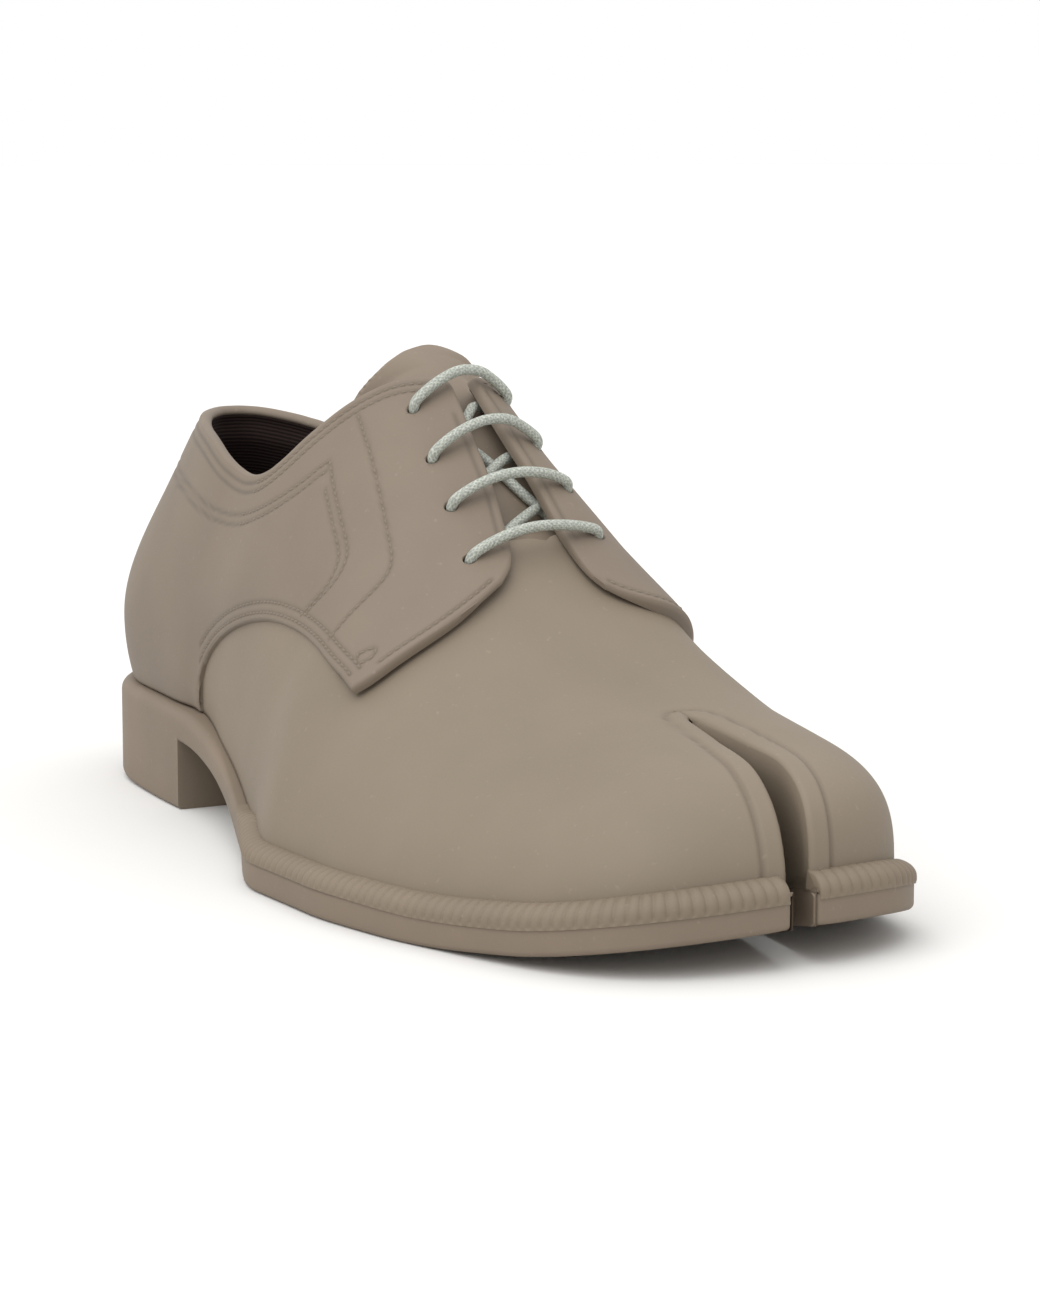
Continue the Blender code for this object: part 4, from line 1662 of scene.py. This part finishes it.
        # Columns crowd towards the flap fronts, and rows towards the two edges
        crowd = self.front_crowd
        outer = outer - crowd * np.sin(np.pi * outer) * np.cos(0.5 * np.pi * outer) ** 8 * np.pi
        inner = inner + crowd * np.sin(np.pi * inner) * np.sin(0.5 * np.pi * inner) ** 8 * np.pi
        u = np.concatenate((0.5 * outer, 0.5 + 0.5 * inner))
        v = np.linspace(0.0, 1.0, self.rows)
        v = v - self.edge_crowd * np.sin(2.0 * np.pi * v)
        low = np.concatenate((self._curve(lower_o, 1.0 - outer), self._curve(lower_i, inner)))
        late_o, late_i = (0.5 * share * (1.0 + share) for share in (1.0 - outer, inner))
        top = np.concatenate((self._curve(upper_o, late_o), self._curve(upper_i, late_i)))
        left = self._curve(front_o, v)
        right = self._curve(front_i, v)
        uu, vv = u[:, None, None], v[None, :, None]
        ruled = (1.0 - vv) * low[:, None] + vv * top[:, None]
        ruled = ruled + (1.0 - uu) * left[None] + uu * right[None]
        start, end = ((1.0 - vv) * low[k] + vv * top[k] for k in (0, -1))
        corners = (1.0 - uu) * start + uu * end
        return ruled - corners

    def _inset(self, column_share: tuple, distance: float, from_top: bool) -> Array:
        """Places at a distance from the top or lower edge, one on each of the patch's columns.

        Args:
            column_share: First and last column as shares of all columns.
            distance: Distance from the edge in millimetres.
            from_top: True to start from the top edge.

        Returns:
            Places, shaped (count, 2).
        """
        first, last = (int(s * (self.columns - 1)) for s in column_share)
        edge = self.spots[:, -1 if from_top else 0]
        walk = walk_of(edge)
        edge = at_walk(edge, walk, np.arange(0.0, walk[-1], 0.25))
        places = self.places[first:last + 1, ::-1 if from_top else 1]
        spots = self.spots[first:last + 1, ::-1 if from_top else 1]
        gap = nearest_gap(spots.reshape(-1, 3), edge).reshape(spots.shape[:2])
        k = np.maximum(np.argmax(gap > distance, axis=1), 1)
        row = np.arange(len(gap))
        start = gap[row, k - 1]
        part = ((distance - start) / np.maximum(gap[row, k] - start, 1e-9))[:, None]
        return places[row, k - 1] * (1.0 - part) + places[row, k] * part

    def _column(self, along: float, side: Side, edge: int) -> float:
        """Share of the columns at which an edge of the patch passes a station on one side.

        Args:
            along: Station in millimetres.
            side: Side of the shoe.
            edge: Row of the patch, 0 for the lower edge and -1 for the top.

        Returns:
            The share, 0 to 1.
        """
        half = self.outer_columns
        line = self.spots[:half, edge, 0] if side is Side.OUTER else self.spots[half:, edge, 0]
        k = int(np.argmin(np.abs(line - along)))
        return (k if side is Side.OUTER else k + half) / (self.columns - 1)

    def face_height(self, spots: Array) -> Array:
        """Height of the quarters' face over spots of the last: thinner along the arch.

        Args:
            spots: Spots of the last, shaped (count, 3).

        Returns:
            Heights in millimetres.
        """
        low = self.spots[:, 0]
        arch = low[(low[:, 0] > self.arch_ends[0]) & (low[:, 0] < self.arch_ends[1])]
        thin = self.arch_thin * np.exp(-((nearest_gap(spots, arch) / self.arch_reach) ** 2))
        return self.height - thin * fall(spots[:, 0], *self.arch_fade)

    def _rows(self) -> dict:
        """Named rows of places: which are only grooves and which carry stitches.

        Returns:
            Places of each row by name; a plain row is only a groove.
        """
        rows = {}
        for side in Side:
            tag = side.name.lower()
            drop = 0.0 if side is Side.OUTER else self.inner_drop
            for name, table in (("chevron_front", CHEVRON_FRONT), ("chevron_back", CHEVRON_BACK)):
                lowered = np.array(table) - (0.0, 0.5 * drop)
                rows[f"{tag}_{name}"] = self.last.locate(side, lowered, (0, 2), self.height)
            shifted = np.array(CHEVRON_BACK[1:]) - (2.2, 0.8 + 0.5 * drop)
            rows[f"{tag}_chevron_pair"] = self.last.locate(side, shifted, (0, 2), self.height)
            bands = ("band_upper", BAND_UPPER, 84.2), ("band_lower", BAND_LOWER, 82.0)
            for name, table, back in bands:
                path = self.last.locate(side, np.array(table) - (0.0, drop), (0, 2), self.height)
                start = self._back_place(0.0, back)
                half = self._back_place(0.5 * path[0, 0], back - 0.3 * (back - table[0][1] + drop))
                whole = round_corners(np.concatenate((start, half, path)), 4)
                meet = int(np.argmin(np.sum((whole - path[4]) ** 2, axis=1)))
                rows[f"plain_{tag}_{name}"] = whole[:meet + 1]
                rows[f"{tag}_{name}"] = whole[meet:]
            dip = self._column(self.collar_dip, side, -1)
            end = self._column(141.0, side, -1)
            collar = (end, dip) if side is Side.OUTER else (dip, end)
            for k, distance in enumerate(self.collar_insets, 1):
                rows[f"{tag}_collar_{k}"] = self._inset(collar, distance, True)
            mine = (np.arange(self.columns) < self.outer_columns) == (side is Side.OUTER)
            low = self.spots[:, 0]
            leg = np.flatnonzero(mine & (low[:, 2] > 31.0) & (low[:, 0] < self.arch_ends[1]))
            arch = (leg[0] / (self.columns - 1), leg[-1] / (self.columns - 1))
            for k, distance in enumerate(self.arch_insets, 1):
                rows[f"{tag}_arch_{k}"] = self._inset(arch, distance, False)
            rim = self._curve(self._border(side)[1], np.linspace(0.2, 0.96, 60))
            inner_rim = self.last.raised(rim[:, 0], rim[:, 1], self.height)
            behind = inner_rim - (2.6, 0.0, 0.0)
            rows[f"{tag}_flap"] = self.last.locate(side, behind, (0, 1, 2), self.height)
            rows[f"{tag}_tack"] = self.last.locate(side, np.array(TACK), (0, 2), self.height)
            face = np.array(OUTER_FACING if side is Side.OUTER else INNER_FACING)[2:-2]
            moved = face + (0.0, side.value * 2.4)
            rows[f"plain_{tag}_facing"] = self.last.locate(side, moved, (0, 1), self.height)
        back_share = tuple(self._column(self.collar_dip, side, -1) for side in Side)
        for k, distance in enumerate(self.collar_insets, 1):
            rows[f"plain_collar_{k}"] = self._inset(back_share, distance, True)
        return rows

    def _even(self, places: Array, step: float) -> tuple[Array, Array]:
        """Even spots of the last along a row of places, and their normals.

        Args:
            places: Control places of the row.
            step: Distance between spots.

        Returns:
            Spots and normals, each shaped (count, 3).
        """
        fine = round_corners(places, 3)
        walk = walk_of(self.last.raised(fine[:, 0], fine[:, 1], self.height))
        even = at_walk(fine, walk, np.arange(0.5 * step, walk[-1], step))
        return self.last.point(even[:, 0], even[:, 1]), self.last.normal(even[:, 0], even[:, 1])

    def _lift(self, spots: Array) -> Array:
        """How far the flaps stand off: a bell curve of the distance from their fronts, less inside.

        Args:
            spots: Spots of the last, shaped (count, 3).

        Returns:
            Distances in millimetres.
        """
        outer, inner = (
            np.exp(-((nearest_gap(spots, front) / self.flap_reach) ** 2))
            for front in (self.spots[0], self.spots[-1])
        )
        return self.flap_lift * (outer + self.inner_share * inner)

    def build_shell(self) -> bpy.types.Object:
        """Build the raised layer with rounded edges, grooves, lifted flaps and eyelet holes.

        Returns:
            The finished piece.
        """
        border = np.concatenate((self.spots[:, 0], self.spots[:, -1], self.spots[0], self.spots[-1]))
        flat = self.spots.reshape(-1, 3)
        shape = self.spots.shape[:2]
        gap = nearest_gap(flat, border).reshape(shape)
        rounding = edge_drop(gap, self.edge_round)
        rows = np.concatenate([self._even(p, 0.4)[0] for p in self.lines.values()])
        row_gap = nearest_gap(flat, rows).reshape(shape)
        lift = self._lift(flat).reshape(shape)
        crease = np.exp(-((row_gap / self.groove_width) ** 2))
        top = self.face_height(flat).reshape(shape) + lift - rounding - self.groove * crease
        normal = self.last.normal(self.places[..., 0], self.places[..., 1])
        upper = self.spots + top[..., None] * normal
        from_top = nearest_gap(flat, self.spots[:, -1]).reshape(shape)
        inside = self.under + self.collar_thin * fall(from_top, *self.collar_taper)
        inside = inside + self.flap_gap * lift / self.flap_lift
        lower = self.spots + inside[..., None] * normal
        points = np.concatenate((upper.reshape(-1, 3), lower.reshape(-1, 3)))
        # The grooves' weight on the face, kept for the painted shade in them; the underside gets none
        shade = np.concatenate((crease.ravel(), np.zeros(crease.size)))
        piece = Builder.mesh("quarters_shell", points, sheet_faces(*shape), sharp=1.0, shade=shade)
        self._punch(piece)
        self.finish.dress(piece)
        return Builder.settle(piece, "quarters", "quarters")

    def _punch(self, piece: bpy.types.Object) -> None:
        """Cut the eyelet holes with round pins square to the surface.

        Args:
            piece: The piece.
        """
        table = np.array(EYELETS)
        along = np.concatenate((table[:, 0], table[:, 0]))
        aside = np.concatenate((-table[:, 1], table[:, 2]))
        spot, normal = self.last.beside_crest(along, aside, self.height)
        side_way = unit(np.cross(normal, (1.0, 0.0, 0.0)))
        cross = np.cross(normal, side_way)
        turn = np.linspace(0.0, 2.0 * np.pi, self.pin_sides, endpoint=False)
        ring = self.eyelet * rings(turn, side_way, cross)
        ends = [spot[:, None] + ring + reach * normal[:, None] for reach in self.pin_ends]
        pins = np.stack(ends, axis=1).reshape(-1, 3)
        faces = []
        for k in range(len(along)):
            faces.extend(tube_faces(2, self.pin_sides, 2 * self.pin_sides * k))
        cutter = Builder.mesh("eyelet_pins", pins, faces)
        step = piece.modifiers.new("eyelets", "BOOLEAN")
        step.operation = "DIFFERENCE"
        step.solver = "EXACT"
        step.object = cutter
        Builder.apply(piece)
        bpy.data.objects.remove(cutter, do_unlink=True)

    def lay_stitches(self) -> None:
        """Hand the rows that carry stitches to the stitches."""
        for name, places in self.lines.items():
            if name.startswith("plain"):
                continue
            base, normal = self._even(places, self.stitches.pitch)
            high = self.face_height(base) + self._lift(base)
            self.stitches.along(base + high[:, None] * normal, normal)

    def build_collar(self) -> bpy.types.Object:
        """Build the rolled collar: an oval bead carried along the collar edge, thinner towards the flaps.

        Returns:
            The finished piece.
        """
        first = int(self._column(140.0, Side.OUTER, -1) * (self.columns - 1))
        last = int(self._column(139.0, Side.INNER, -1) * (self.columns - 1))
        line = self.places[first:last + 1, -1]
        walk = walk_of(self.last.point(line[:, 0], line[:, 1]))
        line = at_walk(line, walk, np.linspace(0.0, walk[-1], 260))
        spot = self.last.point(line[:, 0], line[:, 1])
        normal = self.last.normal(line[:, 0], line[:, 1])
        way = unit(np.gradient(spot, axis=0))
        up = unit(np.cross(normal, way))
        up = up * np.sign(up[:, 2:])
        back = fall(spot[:, 0], *self.bead_back)
        turn = np.linspace(0.0, 2.0 * np.pi, 20, endpoint=False)
        thick = (self.bead_half[0] + self.bead_more[0] * back)[:, None] * np.cos(turn)
        tall = (self.bead_half[1] + self.bead_more[1] * back)[:, None] * np.sin(turn)
        outwards = (self.bead_out + thick)[..., None] * normal[:, None]
        upwards = (tall - self.bead_sink)[..., None] * up[:, None]
        grid = spot[:, None] + outwards + upwards
        faces = tube_faces(*grid.shape[:2])
        piece = Builder.mesh("rolled_collar", grid.reshape(-1, 3), faces, sharp=1.2)
        self.finish.dress(piece)
        return Builder.settle(piece, "quarters")

    def build_lining(self) -> bpy.types.Object:
        """Build the textile lining: the last drawn in by the wall, from the footbed to the collar.

        Returns:
            The finished piece.
        """
        top = self.places[::3, -1]
        level = 0.985 - 0.965 * (1.0 - np.linspace(0.0, 1.0, 52)) ** 1.4
        turn = np.repeat(top[:, :1], len(level), axis=1)
        rise = top[:, 1:] * level[None]
        height = self.lining_out * ramp(level, *self.lining_turn) - self.lining_in
        grid = self.last.raised(turn, rise, height[None])
        across = walk_of(grid[:, -1])
        high = np.linalg.norm(np.diff(grid, axis=1), axis=2).cumsum(axis=1)
        high = np.concatenate((np.zeros((len(top), 1)), high), axis=1)
        along = np.repeat(across[:, None], len(level), axis=1)
        uv = np.stack((along, high - high[:, -1:]), axis=-1).reshape(-1, 2)
        faces = grid_faces(*grid.shape[:2]).tolist()
        piece = Builder.mesh("textile_lining", grid.reshape(-1, 3), faces, uv=uv, sharp=3.0)
        Builder.wall(piece, self.lining_wall)
        self.lining_finish.dress(piece)
        return Builder.settle(piece, "insole")


@dataclass
class Tongue:
    """Tongue under the lace, with a round top and a row of stitches along its edge."""

    last: Last
    finish: MouldedRubber
    stitches: Stitches
    depth: float = 4.6
    root_depth: float = 1.9
    thickness: float = 2.0
    edge_round: float = 0.9
    power: float = 3.0
    inner_half: float = 34.0
    ledge_in: float = 4.0
    spread_range: tuple = (123.0, 133.0)
    root_range: tuple = (168.0, 180.0)
    rows: int = 120
    columns: int = 64

    def face(self, along: Array, aside: Array, drop: Array | float) -> Array:
        """Places of the tongue's face: the crest lowered by a depth and rounded down to both sides.

        Across, the height falls as a superellipse of the last's own half width. Only the free top
        spreads wider to the inner side; below it the tongue lies inside the quarters.

        Args:
            along: Stations in millimetres.
            aside: Distance from the crest line.
            drop: Distance below the face.

        Returns:
            Places, with a last axis of three.
        """
        crest = smooth(PLAN, 3, along)
        own_half = smooth(PLAN, 2, along) - self.ledge_in
        spread = np.maximum(self.inner_half - own_half, 0.0) * fall(along, *self.spread_range)
        outer_half = smooth(PLAN, 1, along) - self.ledge_in
        half = np.where(aside < 0.0, outer_half, own_half + spread)
        base = smooth(SOLE_HEIGHTS, 1, along)
        own = np.where(aside < 0.0, smooth(CROWN, 2, along), smooth(CROWN, 3, along))
        power = np.maximum(own, self.power * np.clip((140.0 - along) / 18.0, 0.0, 1.0))
        rise = (1.0 - np.clip(np.abs(aside) / half, 0.0, 0.98) ** power) ** (1.0 / power)
        slope = (smooth(CROWN, 1, along + 1.0) - smooth(CROWN, 1, along - 1.0)) / 2.0
        depth = self.depth + (self.root_depth - self.depth) * ramp(along, *self.root_range)
        lean = 1.0 / np.sqrt(1.0 + slope ** 2)
        x = along + (depth + drop) * slope * lean
        z = base + (smooth(CROWN, 1, along) - base) * rise - (depth + drop) * lean
        return np.stack((x, crest + aside, z), axis=-1)

    def build(self) -> bpy.types.Object:
        """Build the tongue as a closed sheet with a rounded rim.

        Returns:
            The finished piece.
        """
        part = np.linspace(0.0, 1.0, self.rows) ** 1.5
        along = TONGUE[0][0] + (TONGUE[-1][0] - TONGUE[0][0]) * part
        across = np.sin(QUARTER_TURN * np.linspace(-1.0, 1.0, self.columns))
        outer, inner = smooth(TONGUE, 1, along), smooth(TONGUE, 2, along)
        aside = 0.5 * (inner - outer)[:, None] + 0.5 * (inner + outer)[:, None] * across[None]
        station = np.repeat(along[:, None], self.columns, axis=1)
        flat = self.face(station, aside, 0.0)
        rim = np.concatenate((flat[:, 0], flat[:, -1], flat[0]))
        fine = at_walk(rim[: self.rows], walk_of(rim[: self.rows]), np.linspace(0.0, 120.0, 500))
        rim = np.concatenate((rim, fine))
        gap = nearest_gap(flat.reshape(-1, 3), rim).reshape(aside.shape)
        upper = self.face(station, aside, edge_drop(gap, self.edge_round))
        lower = self.face(station, aside, self.thickness)
        points = np.concatenate((upper.reshape(-1, 3), lower.reshape(-1, 3)))
        piece = Builder.mesh("tongue_sheet", points, sheet_faces(self.rows, self.columns))
        self.finish.dress(piece)
        return Builder.settle(piece, "tongue", "tongue")

    def lay_stitches(self, inset: float = 2.0, end: float = 150.0) -> None:
        """Hand the row along the tongue's round edge to the stitches.

        Args:
            inset: Distance of the row from the edge.
            end: Station at which the row ends.
        """
        along = np.linspace(end, TONGUE[0][0], 200)
        outer, inner = smooth(TONGUE, 1, along), smooth(TONGUE, 2, along)
        moved = along + inset * np.clip(1.0 - (along - TONGUE[0][0]) / 6.0, 0.0, 1.0)
        station = np.concatenate((moved, moved[::-1]))
        reach = np.maximum(0.5 * (outer + inner) - inset, 0.0)
        middle = 0.5 * (inner - outer)
        aside = np.concatenate((middle - reach, (middle + reach)[::-1]))
        line = self.face(station, aside, 0.0)
        walk = walk_of(line)
        want = np.arange(0.0, walk[-1], self.stitches.pitch)
        place = at_walk(np.column_stack((station, aside)), walk, want)
        spot = self.face(place[:, 0], place[:, 1], 0.0)
        small = 0.2
        ahead = self.face(place[:, 0] + small, place[:, 1], 0.0) - spot
        across = self.face(place[:, 0], place[:, 1] + small, 0.0) - spot
        normal = unit(np.cross(ahead, across))
        self.stitches.along(spot - 0.12 * normal, normal)


@dataclass
class Lace:
    """Round braided lace: bars over the flaps, slanting runs beneath, one long run back under them."""

    last: Last
    finish: WaxedBraid
    radius: float = 1.25
    sides: int = 14
    step: float = 0.7
    level: float = 2.6
    over: float = 4.0
    arch: float = 2.9
    lean: float = 1.15
    top_drop: float = 0.3
    below: float = -1.6
    deepest: float = -3.2
    bow_power: float = 0.8
    press: float = 0.4
    mouth: float = 2.2

    def _run(self, start: tuple, end: tuple, shares: Array, heights: Array) -> Array:
        """Spots between two places beside the crest, at heights above the last.

        Args:
            start: Station and distance from the crest line.
            end: The same for the far end.
            shares: Shares of the way.
            heights: Height above the last at each share.

        Returns:
            Spots, shaped (count, 3).
        """
        along = start[0] + (end[0] - start[0]) * shares
        aside = start[1] + (end[1] - start[1]) * shares
        spot, normal = self.last.beside_crest(along, aside, self.level)
        return spot + heights[:, None] * normal

    def path(self) -> Array:
        """Middle line of the lace, rounded and evenly spaced.

        Returns:
            Spots, shaped (count, 3).
        """
        rows = [((x, -o), (x, i)) for x, o, i in EYELETS]
        first_inner = rows[0][1]
        top_outer, top_inner = rows[-1]
        slack = np.linspace(0.12, 0.92, 9)
        path = [self._run(top_outer, first_inner, slack, np.full(9, self.deepest))]
        for k, (outer, inner) in enumerate(rows):
            share = np.array((0.0, 0.0, 0.03, 0.1, 0.22, 0.36, 0.5, 0.64, 0.78, 0.9, 0.97, 1.0, 1.0))
            bow = np.sin(np.pi * share ** self.lean) ** self.bow_power
            kept = 1.0 - self.top_drop * (k + 1 == len(rows))
            height = self.over + self.arch * bow * kept - self.press
            height[[0, 1, -2, -1]] = (0.0, self.mouth, self.mouth, 0.0)
            path.append(self._run(inner, outer, share, height))
            if k + 1 < len(rows):
                slant = np.linspace(0.1, 0.9, 7)
                path.append(self._run(outer, rows[k + 1][1], slant, np.full(7, self.below)))
        tail = np.array((0.1, 0.22))
        path.append(self._run(top_outer, top_inner, tail, np.full(2, self.below)))
        points = round_corners(np.concatenate(path), 3)
        walk = walk_of(points)
        return at_walk(points, walk, np.arange(0.0, walk[-1], self.step))

    def build(self) -> bpy.types.Object:
        """Build the lace as a round tube with map places in millimetres along and round it.

        Returns:
            The finished piece.
        """
        line = self.path()
        way = unit(np.gradient(line, axis=0))
        side_way = unit(np.cross(way, (1.0, 0.0, 0.0)))
        up = np.cross(side_way, way)
        turn = np.linspace(0.0, 2.0 * np.pi, self.sides + 1)
        grid = line[:, None] + self.radius * rings(turn, side_way, up)
        rows, columns = grid.shape[:2]
        walk = np.repeat(walk_of(line)[:, None], columns, axis=1)
        uv = np.stack((walk, np.repeat((turn * self.radius)[None], rows, axis=0)), axis=-1)
        faces = grid_faces(rows, columns).tolist()
        faces.append(list(range(columns - 1)))
        faces.append(list(range((rows - 1) * columns, rows * columns - 1)))
        uv = uv.reshape(-1, 2)
        piece = Builder.mesh("braided_lace", grid.reshape(-1, 3), faces, uv=uv, sharp=1.2)
        self.finish.dress(piece)
        LOG.info("lace length %.0f mm", walk_of(line)[-1])
        return Builder.settle(piece, "lace", "lace")


@dataclass
class Studio:
    """Plain pale floor, soft light and the camera at the photograph's angle to the shoe."""

    eye_mm: tuple = (707.9, -355.8, 161.6)
    aim_mm: tuple = (12.94, 18.98, 46.71)
    lens: float = 118.0
    sensor: float = 36.0
    floor_size: float = 80.0
    paper: str = "#D9D8D6"

    @staticmethod
    def _aimed(place: Vector, way: Vector) -> Matrix:
        """Placing of a light or a camera that looks along a direction."""
        return Matrix.Translation(place) @ way.to_track_quat("-Z", "Y").to_matrix().to_4x4()

    def build_floor(self) -> bpy.types.Object:
        """Build the floor with a matte paper finish.

        Returns:
            The floor.
        """
        side = np.linspace(-0.5 * self.floor_size, 0.5 * self.floor_size, 9) / MM
        x, y = np.meshgrid(side, side, indexing="ij")
        points = np.stack((x, y, np.full_like(x, -0.05)), axis=-1).reshape(-1, 3) + ORIGIN
        floor = Builder.mesh("studio_floor", points, grid_faces(9, 9).tolist())
        if floor.data.polygons[0].normal.z < 0.0:
            floor.data.flip_normals()
        material, tree, shader = blank_material("matte_studio_paper")
        place = add_node(tree, "ShaderNodeTexCoord").outputs["Object"]
        grain = add_node(tree, "ShaderNodeTexNoise", Vector=place, Scale=400.0, Detail=2.0)
        bump = add_node(
            tree, "ShaderNodeBump", Strength=0.05, Distance=0.0002, Height=grain.outputs["Fac"],
        )
        wire(
            tree, shader, Base_Color=linear(self.paper), Roughness=0.9,
            Normal=bump.outputs["Normal"],
        )
        put_on(floor, material)
        return floor

    def build_light(self) -> None:
        """Set a white surrounding and two wide, soft lights from above."""
        world = bpy.data.worlds.new("white_studio")
        bpy.context.scene.world = world
        world.use_nodes = True
        world.node_tree.nodes["Background"].inputs["Color"].default_value = (1.0, 1.0, 1.0, 1.0)
        world.node_tree.nodes["Background"].inputs["Strength"].default_value = 1.0
        for name, place, spread, power in (
            ("key_light", (0.46, -1.07, 1.6), 1.1, 1.5),
            ("top_light", (-0.1, 0.15, 2.0), 1.3, 0.7),
        ):
            lamp = bpy.data.lights.new(name, "SUN")
            lamp.angle = spread
            lamp.energy = power
            made = bpy.data.objects.new(name, lamp)
            made.matrix_world = self._aimed(Vector(place), -Vector(place))
            bpy.context.scene.collection.objects.link(made)

    def build_camera(self) -> None:
        """Set the camera at the photograph's place, aimed at the one shoe."""
        lens = bpy.data.cameras.new("photo_view")
        lens.sensor_fit = "HORIZONTAL"
        lens.sensor_width = self.sensor
        lens.lens = self.lens
        lens.clip_start = 0.05
        lens.clip_end = 200.0
        camera = bpy.data.objects.new("photo_view", lens)
        eye = Vector(self.eye_mm) * MM
        camera.matrix_world = self._aimed(eye, Vector(self.aim_mm) * MM - eye)
        bpy.context.scene.collection.objects.link(camera)
        bpy.context.scene.camera = camera
        bpy.context.scene.view_settings.view_transform = "Standard"


def main() -> None:
    """Build every piece of the shoe, its finishes and the studio."""
    logging.basicConfig(level=logging.INFO, format="%(name)s %(message)s")
    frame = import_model()
    studio = Studio()
    studio.build_camera()
    studio.build_light()
    studio.build_floor()
    last = Last()
    sole_rubber = MouldedRubber("moulded_rubber_sole_unit", "#74685A", "#7B6D5E")
    welt_rubber = MouldedRubber("moulded_rubber_ribbed_welt", "#736758", "#7B6E5E")
    # The vamp and quarter skins get painted shade in their grooves and rows
    vamp_rubber = MouldedRubber("moulded_rubber_vamp_skin", "#776C5D", "#7C7061", painted_groove_shade=0.25)
    quarter_rubber = MouldedRubber("moulded_rubber_quarter_skin", "#74685C", "#796D5F", painted_groove_shade=0.3)
    tongue_rubber = MouldedRubber("moulded_rubber_tongue_skin", "#786C5F", "#7E7162")
    stitch_rubber = MouldedRubber("moulded_rubber_stitch_rows", "#716658", "#776B5E")
    lining = RibbedTextile("woven_ribbed_lining", "#1F1715", "#362A28")
    footbed = RibbedTextile("woven_footbed_cloth", "#1F1715", "#332826", by_uv=False)
    braid = WaxedBraid("waxed_cotton_braid", "#8A8E86", "#BDC0B6")
    sole = Sole(last, sole_rubber, welt_rubber)
    sole.build_unit()
    sole.build_welt()
    Vamp(last, vamp_rubber).build()
    stitches = Stitches(stitch_rubber)
    quarters = Quarters(last, quarter_rubber, stitches, lining)
    quarters.build_shell()
    quarters.lay_stitches()
    quarters.build_collar()
    quarters.build_lining()
    tongue = Tongue(last, tongue_rubber, stitches)
    tongue.build()
    tongue.lay_stitches()
    stitches.build()
    Lace(last, braid).build()
    footbed.dress(frame["nodes"]["insole"])


if __name__ == "__main__":
    main()
